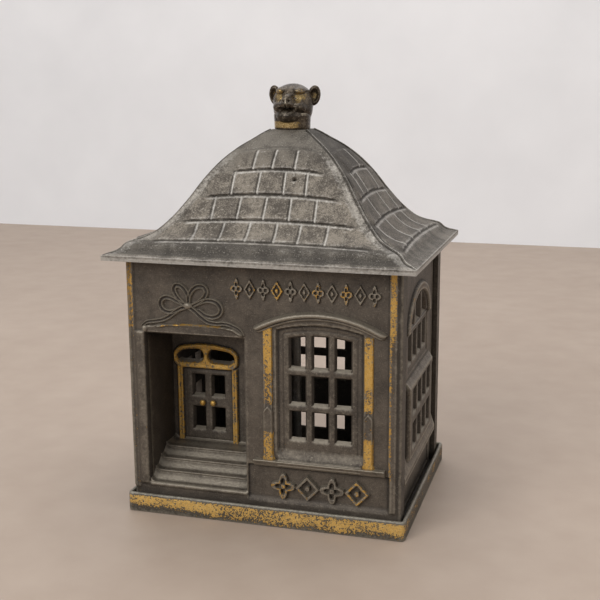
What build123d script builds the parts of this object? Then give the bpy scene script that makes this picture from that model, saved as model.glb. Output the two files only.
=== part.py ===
from build123d import *
import math
import os

# Cast iron still bank in the form of a small house.
#
# A tray-shaped base plate carries four wall castings. The front and back walls have corner flanges
# that wrap the ends of the side walls. A hollow bell-shaped hipped roof seats on the wall tops, and an
# animal-head finial stands on the roof. One long tie screw rises from under the base, through the
# roof, into the finial, and clamps the whole stack.
#
# Frame: the origin is under the middle of the base plate, +X runs to the right along the front,
# +Y to the back, +Z up. All sizes are in millimetres.

# ---------------------------------------------------------------- overall
BODY_W = 94.8          # over the corner flanges
BODY_D = 73.1          # over the front and back walls
WALL_H = 87.4          # walls, from the tray floor to the eave
ROOF_RISE = 41.5       # roof, from the eave to the finial seat
FINIAL_H = 16.0        # finial, above its seat

# ---------------------------------------------------------------- base tray
FLOOR_T = 2.4
RIM_T = 1.3
RIM_H = 6.9            # rim, above the ground
RIM_PLAY_SIDE = 0.7    # between the rim and the corner flanges
RIM_PLAY_FRONT = 1.1   # between the rim and the front and back walls
BASE_CORNER_R = 1.6
BOSS_R = 8.0
BOSS_H = 6.4           # screw boss, above the ground
LUG_L = 14.0           # lugs on the floor that locate the walls
LUG_T = 2.0
LUG_H = 2.6
LUG_PLAY = 0.3

# ---------------------------------------------------------------- walls
WALL_T = 2.2
FLANGE_L = 6.3         # corner flange, front to back
FLANGE_T = 1.7
SIDE_PLAY = 0.05       # side wall face behind the flange
SIDE_GAP = 1.1         # open joint beside each flange
TONGUE_T = 1.2         # thin end of a side wall, behind the flange
TONGUE_PLAY = 0.3

# ---------------------------------------------------------------- front and back windows
LIGHT_W = 5.7
LIGHT_H = 10.2
TOP_LIGHT_H = 11.6
BAR = 2.1              # glazing bars
LIGHT_COLUMNS = 3
WINDOW_SILL = 30.4     # underside of the lowest lights, above the ground
WINDOW_FROM_RIGHT = 27.45
SASH_W = 29.8          # recessed field between the pilasters
SASH_SINK = 0.9
SASH_FOOT = 3.8        # sash, below the lowest lights
ARCH_R = 51.9
HOOD_W = 44.0
HOOD_T = 2.6
HOOD_OUT = 2.0
HOOD_OVER = 4.6        # hood soffit, above the top lights
PILASTER_W = 4.0
PILASTER_OUT = 1.1
LEDGE_W = 45.4
LEDGE_T = 2.2
LEDGE_OUT = 2.2
LEDGE_TOP = 23.4       # above the ground
APRON_W = 49.5         # sunk panel under the ledge
APRON_SINK = 0.8
APRON_FOOT = 8.9
VENT_H = 7.0           # low openings of the back wall
VENT_Z = 9.4

# ---------------------------------------------------------------- porch
PORCH_ROOM = 0.25      # between the porch and the left side wall
PORCH_W = 35.7
PORCH_BACK_W = 28.1    # the right reveal leans in towards the door
PORCH_DEPTH = 22.2
PORCH_TOP = 64.3
PORCH_T = 1.6
THRESHOLD = 10.6       # lowest tread, above the ground
TREAD = 4.7
RISER = 2.8
RISERS = 3
LINTEL_H = 3.3
LINTEL_OUT = 1.4

# ---------------------------------------------------------------- door
DOOR_FROM_LEFT = 12.95  # door centre, from the left reveal
DOOR_H = 27.0
DOOR_LIGHT_W = 4.9
DOOR_LIGHT_H = 8.4
DOOR_LIGHT_PITCH_X = 7.5
DOOR_LIGHT_Z = (8.3, 20.9)     # middles of the lights, above the landing
DOOR_PILASTER_W = 2.5
DOOR_PILASTER_PITCH = 20.9
DOOR_TRIM_OUT = 1.2
TRANSOM_W = 25.3
TRANSOM_H = 9.3
OVAL_W = 10.3
OVAL_H = 5.2
OVAL_PITCH = 12.0
KNOB_R = 1.1
KNOB_PITCH = 3.9
KNOB_UP = 14.4

# ---------------------------------------------------------------- side windows
SIDE_LIGHT_W = 6.6
SIDE_BAR = 2.2
SIDE_COLUMNS = 4
SIDE_ROWS = ((23.9, 9.0), (36.1, 8.9))  # lower sash: underside and height of each row of lights
UPPER_ROW = (53.0, 10.0)
FAN_Z = 65.7           # underside of the three lights in the arch
FAN_RISE = 9.5
FAN_BAR_PITCH = 11.6
ARCH_T = 2.9
ARCH_OUT = 1.0
LOWER_SASH_W = 42.0
LOWER_SASH_OUT = 1.7
LOWER_SASH_FOOT = 20.6
MEETING_RAIL = (45.4, 49.0)   # sloped ledge between the sashes
MEETING_RAIL_W = 44.0
SILL = (15.0, 22.4)    # sloped sill under the lower sash

# ---------------------------------------------------------------- roof
EAVE_SIDE = 5.3
EAVE_FRONT = 7.7
LIP_T = 1.75
SEAT_HALF_X = 6.5      # flat top that carries the finial
SEAT_HALF_Y = 6.3
ROOF_T = 2.3
RIB_T = 1.6            # rib that drops inside the walls
RIB_H = 2.6
RIB_PLAY = 0.4
ROOF_BOSS_R = 5.6
ROOF_BOSS_H = 7.0
SLOT_L = 31.0          # coin slot in the back slope
SLOT_W = 2.8
SLOT_UP = 0.49         # share of the rise at which the slot is cut
# Bell curve: share of the run from seat to eave, share of the rise over the lip.
BELL = ((0.0, 1.0), (0.25, 0.797), (0.42, 0.58), (0.56, 0.324), (0.746, 0.14))
SHOULDER = ((0.866, 0.088), (0.917, 0.033), (0.985, 0.008))

# ---------------------------------------------------------------- finial and tie screw
NECK_R = 6.0
COLLAR_R = 6.25
COLLAR_Z = (0.6, 2.9)  # above the seat
SCREW_R = 2.4
SCREW_PLAY = 0.05
SCREW_BITE = 8.4       # length inside the finial
SCREW_END_PLAY = 0.6
HEAD_R = 4.6
HEAD_T = 2.3
HEAD_PLAY = 0.5
HEAD_UP = 0.6          # head, clear of the ground
DRIVE_W = 1.2
DRIVE_DEEP = 1.0

# ---------------------------------------------------------------- places worked out from the sizes
WALL_TOP = FLOOR_T + WALL_H
SEAT_Z = WALL_TOP + ROOF_RISE
LIP_TOP = WALL_TOP + LIP_T
FRONT_Y = -BODY_D / 2
BACK_Y = BODY_D / 2
HALF_W = BODY_W / 2
SIDE_FACE = HALF_W - FLANGE_T - SIDE_PLAY
SIDE_INNER = SIDE_FACE - WALL_T
INNER_Y = BACK_Y - WALL_T
WINDOW_X = HALF_W - WINDOW_FROM_RIGHT
LIGHT_PITCH = LIGHT_W + BAR
TOP_LIGHT_Z = WINDOW_SILL + 2 * (LIGHT_H + BAR)
PORCH_LEFT = -SIDE_INNER + PORCH_ROOM + PORCH_T
DOOR_Y = FRONT_Y + PORCH_DEPTH
DOOR_X = PORCH_LEFT + DOOR_FROM_LEFT
LANDING = THRESHOLD + RISERS * RISER
HEAD_TOP = HEAD_UP + HEAD_T
SCREW_TOP = SEAT_Z + SCREW_BITE


def block(low, high):
    """A box between its lowest and highest corners."""
    size = [b - a for a, b in zip(low, high)]
    middle = [(a + b) / 2 for a, b in zip(low, high)]
    return Pos(*middle) * Box(*size)


def across_y(sketch, y_from, y_to):
    """Extrude a sketch drawn in X and Z from one Y plane to a higher one."""
    return extrude(Plane.XZ.offset(-y_to) * sketch, y_to - y_from)


def across_x(sketch, x_from, x_to):
    """Extrude a sketch drawn in Y and Z from one X plane to a higher one."""
    return extrude(Plane.YZ.offset(x_from) * sketch, x_to - x_from)


def rectangle(left, right, low, high):
    """A rectangle in a sketch, given by its sides."""
    return Pos((left + right) / 2, (low + high) / 2) * Rectangle(right - left, high - low)


def columns(count, pitch):
    """Offsets of evenly spaced columns about a middle."""
    return [(i - (count - 1) / 2) * pitch for i in range(count)]


def sagged(crown, offset, radius=ARCH_R):
    """Height of a flat arch of a given crown at a sideways offset."""
    return crown - (radius - math.sqrt(radius ** 2 - offset ** 2))


def flat_arch(middle, width, crown):
    """The flat arch itself, from left to right."""
    half = width / 2
    spring = sagged(crown, half)
    return ThreePointArc((middle - half, spring), (middle, crown), (middle + half, spring))


def closed_by_lines(upper, lower):
    """The face between two curves that both run from left to right."""
    return make_face([upper, Line(upper @ 1, lower @ 1), lower, Line(lower @ 0, upper @ 0)])


def arch_band(middle, width, crown, thickness):
    """A band that follows the flat arch: its upper edge has the given crown."""
    return closed_by_lines(flat_arch(middle, width, crown), flat_arch(middle, width, crown - thickness))


def arched_panel(middle, width, crown, low):
    """A panel with the flat arch on top and a level foot."""
    foot = Line((middle - width / 2, low), (middle + width / 2, low))
    return closed_by_lines(flat_arch(middle, width, crown), foot)


# ---------------------------------------------------------------- base plate
def base_plate():
    half_x = HALF_W + RIM_PLAY_SIDE + RIM_T
    half_y = BACK_Y + RIM_PLAY_FRONT + RIM_T
    tray = block((-half_x, -half_y, 0), (half_x, half_y, RIM_H))
    tray = fillet(tray.edges().filter_by(Axis.Z), BASE_CORNER_R)
    tray -= block((-half_x + RIM_T, -half_y + RIM_T, FLOOR_T), (half_x - RIM_T, half_y - RIM_T, RIM_H))
    tray += Pos(0, 0, BOSS_H / 2) * Cylinder(BOSS_R, BOSS_H)
    tray += wall_lugs()
    tray -= Pos(0, 0, HEAD_TOP / 2) * Cylinder(HEAD_R + HEAD_PLAY, HEAD_TOP)
    tray -= Pos(0, 0, BOSS_H / 2) * Cylinder(SCREW_R + SCREW_PLAY, BOSS_H)
    return tray


def wall_lugs():
    """Four low lugs, each just inside the middle of a wall."""
    top = FLOOR_T + LUG_H
    y_far = INNER_Y - LUG_PLAY
    x_far = SIDE_INNER - LUG_PLAY
    lugs = []
    for side in (-1, 1):
        y_pair = sorted((side * (y_far - LUG_T), side * y_far))
        x_pair = sorted((side * (x_far - LUG_T), side * x_far))
        lugs.append(block((-LUG_L / 2, y_pair[0], FLOOR_T), (LUG_L / 2, y_pair[1], top)))
        lugs.append(block((x_pair[0], 0, FLOOR_T), (x_pair[1], LUG_L, top)))
    return lugs


# ---------------------------------------------------------------- front and back walls
def panel():
    """A plain front panel with its two corner flanges."""
    wall = block((-HALF_W, FRONT_Y, FLOOR_T), (HALF_W, FRONT_Y + WALL_T, WALL_TOP))
    for side in (-1, 1):
        x_pair = sorted((side * (HALF_W - FLANGE_T), side * HALF_W))
        wall += block((x_pair[0], FRONT_Y, FLOOR_T), (x_pair[1], FRONT_Y + FLANGE_L, WALL_TOP))
    return wall


def window_lights(middle):
    """Sketch of the nine lights, the top row under the flat arch."""
    sketch = Sketch()
    for offset in columns(LIGHT_COLUMNS, LIGHT_PITCH):
        left = middle + offset - LIGHT_W / 2
        for row in range(2):
            low = WINDOW_SILL + row * (LIGHT_H + BAR)
            sketch += rectangle(left, left + LIGHT_W, low, low + LIGHT_H)
        sketch += rectangle(left, left + LIGHT_W, TOP_LIGHT_Z, TOP_LIGHT_Z + TOP_LIGHT_H)
    opening_w = LIGHT_COLUMNS * LIGHT_PITCH
    return sketch & arched_panel(middle, opening_w, TOP_LIGHT_Z + TOP_LIGHT_H, WINDOW_SILL)


def window_trim(wall, middle, apron_w):
    """Hood, pilasters, ledge and sunk fields round a window."""
    crown = TOP_LIGHT_Z + TOP_LIGHT_H + HOOD_OVER + HOOD_T
    field = arched_panel(middle, SASH_W, crown - HOOD_T, WINDOW_SILL - SASH_FOOT)
    wall -= across_y(field, FRONT_Y, FRONT_Y + SASH_SINK)
    hood = arch_band(middle, HOOD_W, crown, HOOD_T)
    wall += across_y(hood, FRONT_Y - HOOD_OUT, FRONT_Y + SASH_SINK)
    pilaster_x = SASH_W / 2 + PILASTER_W / 2
    for offset in (-pilaster_x, pilaster_x):
        left = middle + offset - PILASTER_W / 2
        top = sagged(crown - HOOD_T / 2, pilaster_x)
        shaft = rectangle(left, left + PILASTER_W, LEDGE_TOP, top)
        wall += across_y(shaft, FRONT_Y - PILASTER_OUT, FRONT_Y)
    ledge = rectangle(middle - LEDGE_W / 2, middle + LEDGE_W / 2, LEDGE_TOP - LEDGE_T, LEDGE_TOP)
    wall += across_y(ledge, FRONT_Y - LEDGE_OUT, FRONT_Y + SASH_SINK)
    apron = rectangle(middle - apron_w / 2, middle + apron_w / 2, APRON_FOOT, LEDGE_TOP - LEDGE_T)
    return wall - across_y(apron, FRONT_Y, FRONT_Y + APRON_SINK)


def porch_air():
    """Sketch in Y and Z of the open space over the steps."""
    points = [(FRONT_Y, PORCH_TOP), (FRONT_Y, THRESHOLD)]
    for step in range(1, RISERS + 1):
        points.append((FRONT_Y + step * TREAD, THRESHOLD + (step - 1) * RISER))
        points.append((FRONT_Y + step * TREAD, THRESHOLD + step * RISER))
    points += [(DOOR_Y, LANDING), (DOOR_Y, PORCH_TOP)]
    return make_face(Polyline(*points, close=True))


def porch_plan(grow):
    """Sketch in X and Y of the porch, grown sideways and back by a wall's thickness."""
    slant = (PORCH_W - PORCH_BACK_W) * (PORCH_DEPTH + grow) / PORCH_DEPTH
    right = PORCH_LEFT + PORCH_W + grow
    corners = [(PORCH_LEFT - grow, FRONT_Y), (right, FRONT_Y), (right - slant, DOOR_Y + grow),
               (PORCH_LEFT - grow, DOOR_Y + grow)]
    return make_face(Polyline(*corners, close=True))


def porch_solid(profile, plan):
    """The space shared by a side profile and a plan."""
    width = across_x(profile, -HALF_W, HALF_W)
    return width & extrude(plan, WALL_TOP)


def rounded_bar(middle, width, height):
    """A rectangle with fully rounded ends."""
    return Pos(*middle) * SlotOverall(width, height)


def door_trim():
    """Transom frame, pilasters and knobs on the door wall."""
    transom_z = LANDING + DOOR_H + TRANSOM_H / 2
    face = DOOR_Y - DOOR_TRIM_OUT
    trim = across_y(rounded_bar((DOOR_X, transom_z), TRANSOM_W, TRANSOM_H), face, DOOR_Y)
    for offset in (-DOOR_PILASTER_PITCH / 2, DOOR_PILASTER_PITCH / 2):
        left = DOOR_X + offset - DOOR_PILASTER_W / 2
        shaft = rectangle(left, left + DOOR_PILASTER_W, LANDING, transom_z)
        trim += across_y(shaft, face, DOOR_Y)
    for offset in (-KNOB_PITCH / 2, KNOB_PITCH / 2):
        trim += Pos(DOOR_X + offset, DOOR_Y, LANDING + KNOB_UP) * Sphere(KNOB_R)
    return trim


def door_lights():
    """Sketch of the two transom ovals and the four door lights."""
    transom_z = LANDING + DOOR_H + TRANSOM_H / 2
    sketch = Sketch()
    for offset in (-OVAL_PITCH / 2, OVAL_PITCH / 2):
        sketch += rounded_bar((DOOR_X + offset, transom_z), OVAL_W, OVAL_H)
    for offset in (-DOOR_LIGHT_PITCH_X / 2, DOOR_LIGHT_PITCH_X / 2):
        for height in DOOR_LIGHT_Z:
            sketch += Pos(DOOR_X + offset, LANDING + height) * Rectangle(DOOR_LIGHT_W, DOOR_LIGHT_H)
    return sketch


def front_wall():
    air = porch_air()
    shell = porch_solid(offset(air, PORCH_T, kind=Kind.INTERSECTION), porch_plan(PORCH_T))
    room = porch_solid(air, porch_plan(0))
    wall = window_trim(panel(), WINDOW_X, APRON_W)
    wall += shell
    lintel = rectangle(PORCH_LEFT, PORCH_LEFT + PORCH_W, PORCH_TOP, PORCH_TOP + LINTEL_H)
    wall += across_y(lintel, FRONT_Y - LINTEL_OUT, FRONT_Y)
    wall -= room
    wall += door_trim() & block((-HALF_W, FRONT_Y, LANDING), (HALF_W, DOOR_Y + PORCH_T, PORCH_TOP))
    wall -= across_y(door_lights(), DOOR_Y - DOOR_TRIM_OUT, DOOR_Y + PORCH_T)
    return wall - across_y(window_lights(WINDOW_X), FRONT_Y, FRONT_Y + WALL_T)


def back_wall():
    """Like the front panel, with its window in the middle and three low vents, turned to the back."""
    wall = window_trim(panel(), 0, APRON_W)
    openings = window_lights(0)
    for offset in columns(LIGHT_COLUMNS, LIGHT_PITCH):
        openings += rectangle(offset - LIGHT_W / 2, offset + LIGHT_W / 2, VENT_Z, VENT_Z + VENT_H)
    wall -= across_y(openings, FRONT_Y, FRONT_Y + WALL_T)
    return Rot(0, 0, 180) * wall


# ---------------------------------------------------------------- side walls
def fan_arch(half_width, low, rise):
    """A half ellipse standing on a level line."""
    whole = Pos(0, low) * Ellipse(half_width, rise)
    return whole & rectangle(-half_width, half_width, low, low + rise)


def side_lights():
    """Sketch of the lights of both sashes and of the arch."""
    pitch = SIDE_LIGHT_W + SIDE_BAR
    sketch = Sketch()
    for offset in columns(SIDE_COLUMNS, pitch):
        for low, height in SIDE_ROWS + (UPPER_ROW,):
            sketch += rectangle(offset - SIDE_LIGHT_W / 2, offset + SIDE_LIGHT_W / 2, low, low + height)
    half = (SIDE_COLUMNS * pitch - SIDE_BAR) / 2
    fan = fan_arch(half, FAN_Z, FAN_RISE)
    for offset in (-FAN_BAR_PITCH / 2, FAN_BAR_PITCH / 2):
        fan -= rectangle(offset - SIDE_BAR / 2, offset + SIDE_BAR / 2, FAN_Z, FAN_Z + FAN_RISE)
    return sketch + fan


def sloped_shelf(width, low_high, out):
    """A shelf whose top slopes down and outwards from the wall."""
    low, high = low_high
    corners = [(SIDE_FACE - WALL_T / 2, low), (SIDE_FACE + out, low),
               (SIDE_FACE + out, low + (high - low) / 3), (SIDE_FACE, high), (SIDE_FACE - WALL_T / 2, high)]
    return across_y(make_face(Polyline(*corners, close=True)), -width / 2, width / 2)


def side_wall():
    """The right-hand side wall."""
    face_half = BACK_Y - FLANGE_L - SIDE_GAP
    tongue_half = INNER_Y - TONGUE_PLAY
    wall = block((SIDE_INNER, -face_half, FLOOR_T), (SIDE_FACE, face_half, WALL_TOP))
    wall += block((SIDE_INNER, -tongue_half, FLOOR_T), (SIDE_INNER + TONGUE_T, tongue_half, WALL_TOP))
    half = (SIDE_COLUMNS * (SIDE_LIGHT_W + SIDE_BAR) - SIDE_BAR) / 2 + SIDE_BAR
    ring = fan_arch(half + ARCH_T, FAN_Z, FAN_RISE + SIDE_BAR + ARCH_T) - fan_arch(half, FAN_Z, FAN_RISE + SIDE_BAR)
    wall += across_x(ring, SIDE_FACE - WALL_T / 2, SIDE_FACE + ARCH_OUT)
    sash_half = LOWER_SASH_W / 2
    wall += block((SIDE_FACE - WALL_T / 2, -sash_half, LOWER_SASH_FOOT),
                  (SIDE_FACE + LOWER_SASH_OUT, sash_half, MEETING_RAIL[0]))
    wall += sloped_shelf(MEETING_RAIL_W, MEETING_RAIL, LOWER_SASH_OUT)
    wall += sloped_shelf(2 * face_half, SILL, LOWER_SASH_OUT)
    pocket_half = sash_half - WALL_T
    wall -= block((SIDE_INNER, -pocket_half, LOWER_SASH_FOOT + WALL_T),
                  (SIDE_INNER + LOWER_SASH_OUT, pocket_half, MEETING_RAIL[0]))
    return wall - across_x(side_lights(), SIDE_INNER, SIDE_FACE + LOWER_SASH_OUT)


# ---------------------------------------------------------------- roof
def roof_points(half_base, half_seat, shares):
    """Places on a roof slope, in an upright plane, from shares of its run and rise."""
    run = half_base - half_seat
    height = SEAT_Z - LIP_TOP
    return [Vector(half_seat + run * share, LIP_TOP + height * rise) for share, rise in shares]


def closed_profile(bell, rest):
    """Symmetrical outline: a spline down the bell, then straight lines to the foot."""
    lines = []
    for side in (-1, 1):
        curve = [Vector(side * point.X, point.Y) for point in bell]
        straight = [Vector(side * point.X, point.Y) for point in [bell[-1]] + rest]
        lines += Spline(*curve).edges() + Polyline(*straight).edges()
    for end in (bell[0], rest[-1]):
        lines.append(Edge.make_line((-end.X, end.Y), (end.X, end.Y)))
    return make_face(lines)


def outer_profile(half_base, half_seat):
    """Outside of the roof: bell, shoulder and lip."""
    shoulder = roof_points(half_base, half_seat, SHOULDER)
    lip = [Vector(half_base, LIP_TOP), Vector(half_base, WALL_TOP)]
    return closed_profile(roof_points(half_base, half_seat, BELL), shoulder + lip)


def hollow_profile(half_base, half_seat, foot):
    """Inside of the roof: the bell moved square to itself by the casting's thickness."""
    points = roof_points(half_base, half_seat, BELL + SHOULDER[:1])
    inner = [points[0] - Vector(0, ROOF_T)]
    for before, point, after in zip(points, points[1:], points[2:]):
        along = (after - before).normalized()
        inner.append(point + Vector(along.Y, -along.X) * ROOF_T)
    return closed_profile(inner, [Vector(inner[-1].X, foot)])


def hipped(profile_x, profile_y):
    """The hipped solid under two crossing profiles."""
    reach = BODY_W + BODY_D
    return across_y(profile_x, -reach / 2, reach / 2) & across_x(profile_y, -reach / 2, reach / 2)


def roof():
    half_x = HALF_W + EAVE_SIDE
    half_y = BACK_Y + EAVE_FRONT
    solid = hipped(outer_profile(half_x, SEAT_HALF_X), outer_profile(half_y, SEAT_HALF_Y))
    rib_x = SIDE_INNER - RIB_PLAY
    rib_y = INNER_Y - RIB_PLAY
    foot = WALL_TOP - RIB_H
    solid += block((-rib_x, -rib_y, foot), (rib_x, rib_y, WALL_TOP + ROOF_T))
    hollow = hipped(hollow_profile(half_x, SEAT_HALF_X, foot), hollow_profile(half_y, SEAT_HALF_Y, foot))
    hollow &= block((-rib_x + RIB_T, -rib_y + RIB_T, foot), (rib_x - RIB_T, rib_y - RIB_T, SEAT_Z))
    solid -= hollow
    solid += Pos(0, 0, SEAT_Z - ROOF_BOSS_H / 2) * Cylinder(ROOF_BOSS_R, ROOF_BOSS_H)
    solid -= Pos(0, 0, SEAT_Z - ROOF_BOSS_H) * Cylinder(SCREW_R + SCREW_PLAY, 4 * ROOF_BOSS_H)
    return solid - coin_slot(half_y)


def coin_slot(half_y):
    """A level slot cut square to the back slope."""
    (share_a, rise_a), (share_b, rise_b) = BELL[2:4]
    run = half_y - SEAT_HALF_Y
    height = SEAT_Z - LIP_TOP
    fall = math.degrees(math.atan2((rise_a - rise_b) * height, (share_b - share_a) * run))
    share = share_a + (share_b - share_a) * (rise_a - SLOT_UP) / (rise_a - rise_b)
    middle = (0, SEAT_HALF_Y + run * share, LIP_TOP + height * SLOT_UP)
    return Pos(*middle) * Rot(-fall, 0, 0) * Box(SLOT_L, SLOT_W, 6 * ROOF_T)


# ---------------------------------------------------------------- finial and tie screw
def ellipsoid(middle, radii):
    """A sphere stretched to three radii."""
    return Pos(*middle) * scale(Sphere(1), by=radii)


def finial():
    """Animal head on a round neck with a collar, facing the front."""
    collar_h = COLLAR_Z[1] - COLLAR_Z[0]
    neck_h = FINIAL_H / 2
    head = Pos(0, 0, SEAT_Z + neck_h / 2) * Cylinder(NECK_R, neck_h)
    head += Pos(0, 0, SEAT_Z + COLLAR_Z[0] + collar_h / 2) * Cylinder(COLLAR_R, collar_h)
    head += ellipsoid((0, 0.2, SEAT_Z + 9.4), (6.8, 6.6, FINIAL_H - 9.4))
    head += ellipsoid((0, -4.6, SEAT_Z + 8.2), (4.0, 5.0, 3.6))
    for side in (-1, 1):
        head += ellipsoid((side * 6.7, 2.2, SEAT_Z + 12.4), (1.8, 1.6, 3.5))
    bore_h = SCREW_BITE + SCREW_END_PLAY
    return head - Pos(0, 0, SEAT_Z + bore_h / 2) * Cylinder(SCREW_R + SCREW_PLAY, bore_h)


def tie_screw():
    shank_h = SCREW_TOP - HEAD_TOP
    screw = Pos(0, 0, HEAD_UP + HEAD_T / 2) * Cylinder(HEAD_R, HEAD_T)
    screw += Pos(0, 0, HEAD_TOP + shank_h / 2) * Cylinder(SCREW_R, shank_h)
    return screw - Pos(0, 0, HEAD_UP + DRIVE_DEEP / 2) * Box(2 * HEAD_R, DRIVE_W, DRIVE_DEEP)


right = side_wall()
PIECES = {
    "base_plate": base_plate(),
    "front_wall": front_wall(),
    "back_wall": back_wall(),
    "left_wall": mirror(right, Plane.YZ),
    "right_wall": right,
    "roof": roof(),
    "finial": finial(),
    "tie_screw": tie_screw(),
}

os.makedirs("parts", exist_ok=True)
for name, piece in PIECES.items():
    solids = piece.solids()
    print(f"{name:12s} solids {len(solids)}  volume {piece.volume:9.1f}  box {piece.bounding_box().size}")
    export_step(Compound(children=solids), f"parts/{name}.step")
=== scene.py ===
"""Cast iron still bank in the form of a small house.

Every casting is a relief: a grid of lines over a face, a height worked out at each crossing,
and a back face behind it. Heights, outlines and paths are in millimetres in the frame's own
axes, and meshes are written in metres.
"""

import math

import bpy
import numpy as np
from mathutils import Matrix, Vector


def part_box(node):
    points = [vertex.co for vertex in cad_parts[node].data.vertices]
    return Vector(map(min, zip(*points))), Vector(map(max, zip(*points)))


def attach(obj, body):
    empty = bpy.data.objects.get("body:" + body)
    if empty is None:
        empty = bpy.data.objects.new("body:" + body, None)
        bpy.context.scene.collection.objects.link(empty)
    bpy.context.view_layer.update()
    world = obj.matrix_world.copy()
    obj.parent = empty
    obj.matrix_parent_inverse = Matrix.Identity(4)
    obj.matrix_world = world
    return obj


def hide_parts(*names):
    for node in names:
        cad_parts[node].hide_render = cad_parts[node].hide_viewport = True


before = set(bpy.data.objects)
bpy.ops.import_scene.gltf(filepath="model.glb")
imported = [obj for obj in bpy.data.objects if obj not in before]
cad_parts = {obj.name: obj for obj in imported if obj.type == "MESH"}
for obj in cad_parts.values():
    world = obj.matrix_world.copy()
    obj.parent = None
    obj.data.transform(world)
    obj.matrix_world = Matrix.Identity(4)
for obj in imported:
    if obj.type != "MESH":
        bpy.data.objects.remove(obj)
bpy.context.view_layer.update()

MM = 0.001


def cad_mm(node):
    """Lowest and highest corner of a CAD node, in millimetres."""
    low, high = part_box(node)
    return np.array(low) / MM, np.array(high) / MM


# ------------------------------------------------------------------ sizes read from the frame
FRONT_LOW, FRONT_HIGH = cad_mm("front_wall")
LEDGE_OUT = 2.2                    # window ledge, proud of the front wall
FRONT = FRONT_LOW[1] + LEDGE_OUT   # plane of the front wall
HALF_W = FRONT_HIGH[0]             # over the corner flanges
FLOOR = FRONT_LOW[2]               # walls stand on the tray floor
EAVE = FRONT_HIGH[2]               # walls end under the roof
EAVE_X, EAVE_Y = cad_mm("roof")[1][:2]
SEAT = cad_mm("finial")[0][2]      # flat top that carries the finial
SIDE_OUT = 1.7                     # lower sash, proud of the side wall
SIDE_FACE = cad_mm("right_wall")[1][0] - SIDE_OUT
BASE_X, BASE_Y, RIM_TOP = cad_mm("base_plate")[1]

# ------------------------------------------------------------------ wall castings
WALL_T = 2.2
FLANGE_L = 6.3
FLANGE_T = 1.7
CORNER_R = 0.8
DRAFT = 0.45                       # openings narrow towards the inside, so that the pattern draws
LIP_W, LIP_DROP = 0.55, 0.32       # rounding round an opening
SOFT = 0.45                        # width of a cast step
# Flat strips down the corners, and the upright bead left of the porch.
STRIP_LEFT, STRIP_RIGHT, STRIP_OUT, STRIP_FOOT = (-47.9, -45.1), (43.2, 45.7), 0.42, 8.0
BEAD_X, BEAD_HALF, BEAD_OUT = -43.35, 1.8, 0.72

# ------------------------------------------------------------------ window
WINDOW_X = 19.95
LIGHT_W, BAR = 5.7, 2.1
LIGHT_ROWS = ((30.4, 40.6), (42.7, 52.9), (55.0, 66.6))
ARCH_R = 51.9
SASH_W, SASH_CROWN, SASH_LOW, SASH_SINK = 29.8, 70.5, 26.8, 0.9
LEDGE_TOP, LEDGE_LOW = 23.4, 21.2
HOOD_CROWN, HOOD_HALF, HOOD_R = 74.8, 22.0, 44.5
APRON = (-5.6, 43.9, 8.9, 21.2)
APRON_SINK = 0.8
BACK_APRON = 24.75                 # half width of the apron on the back wall
VENT_LOW, VENT_HIGH = 9.4, 16.4
# Pilasters: left and right side from the window's middle, and top. Their lower part is a picket.
PILASTERS = (("left", -19.55, -15.85, 69.3), ("right", 14.75, 18.35, 67.9))
PICKET_TOP = 42.2
# Ornament rows: left end, right end, foot, top, number of ornaments, width of the line, height, gold.
FRIEZE = (-10.4, 40.6, 77.8, 84.8, 11, 1.25, 0.8, 0.70)
APRON_ROW = (3.0, 37.0, 9.6, 18.8, 4, 1.45, 0.8, 0.66)

# ------------------------------------------------------------------ porch and door
PORCH = (-41.6, -5.9, 10.6, 64.3)
PORCH_DEPTH, PORCH_T = 22.2, 1.6
PORCH_BACK_RIGHT = -13.5
DOOR_Y = FRONT + PORCH_DEPTH
LANDING = 19.0
TREAD, RISER, THRESHOLD, RISER_COUNT = 4.7, 2.8, 10.6, 3
LINTEL = (-42.4, PORCH[1], PORCH[3], 68.4)
LINTEL_LINE = ((-36.5, 66.9), (-33.0, 67.6), (-25.0, 68.1), (-14.0, 68.0), (-9.5, 67.2), (-6.6, 65.6))
DOOR_POSTS = ((-39.9, -37.4), (-19.0, -16.5))
LEAVES, LEAF_JOINT = (-36.4, -20.0, LANDING + 0.9, 45.6), -28.1
KNOBS = (("left", -30.1, 33.6), ("right", -26.1, 33.7))
DOOR_LIGHTS = ((-34.2, -29.4), (-26.8, -21.8))
DOOR_LIGHT_ROWS = ((23.1, 31.9), (35.8, 44.0))
TRANSOM = (-41.3, -16.0, 46.2, 55.8)
TRANSOM_CORNER, TRANSOM_BEND = 3.6, 2.1
OVALS = ((-34.6, 51.1), (-22.9, 51.1))
OVAL_W, OVAL_H = 10.4, 5.3

# ------------------------------------------------------------------ side windows
SIDE_LIGHT_W, SIDE_BAR = 6.6, 2.2
SIDE_ROWS = ((23.9, 32.9), (36.1, 45.0), (53.0, 63.0))
FAN_Z, FAN_RISE, FAN_HALF, FAN_PITCH = 65.7, 9.5, 16.5, 11.6
ARCH_W, ARCH_IN = 5.1, 2.2         # arch moulding, out from the fan to its far and its near side
SASH_BOX = (-21, 21, 20.6, 46.0)   # proud lower sash: sides, foot and top
RAIL_BOX = (-22, 22, 44.6, 49.2)   # sloped meeting rail
SIDE_SILL = (15.0, 22.6)           # foot and top of the sloped sill
UPPER_BOX = (-18.7, 18.7, 49.0)    # sunk field behind the upper sash
LOW_BOX = (-25.5, 25.5, 4.0, 14.4)  # sunk panel under the sill
SIDE_HALF = 29.15                  # thick part of the side wall; a thin tongue carries on
TONGUE_HALF, TONGUE_DROP = 34.05, 1.0

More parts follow.
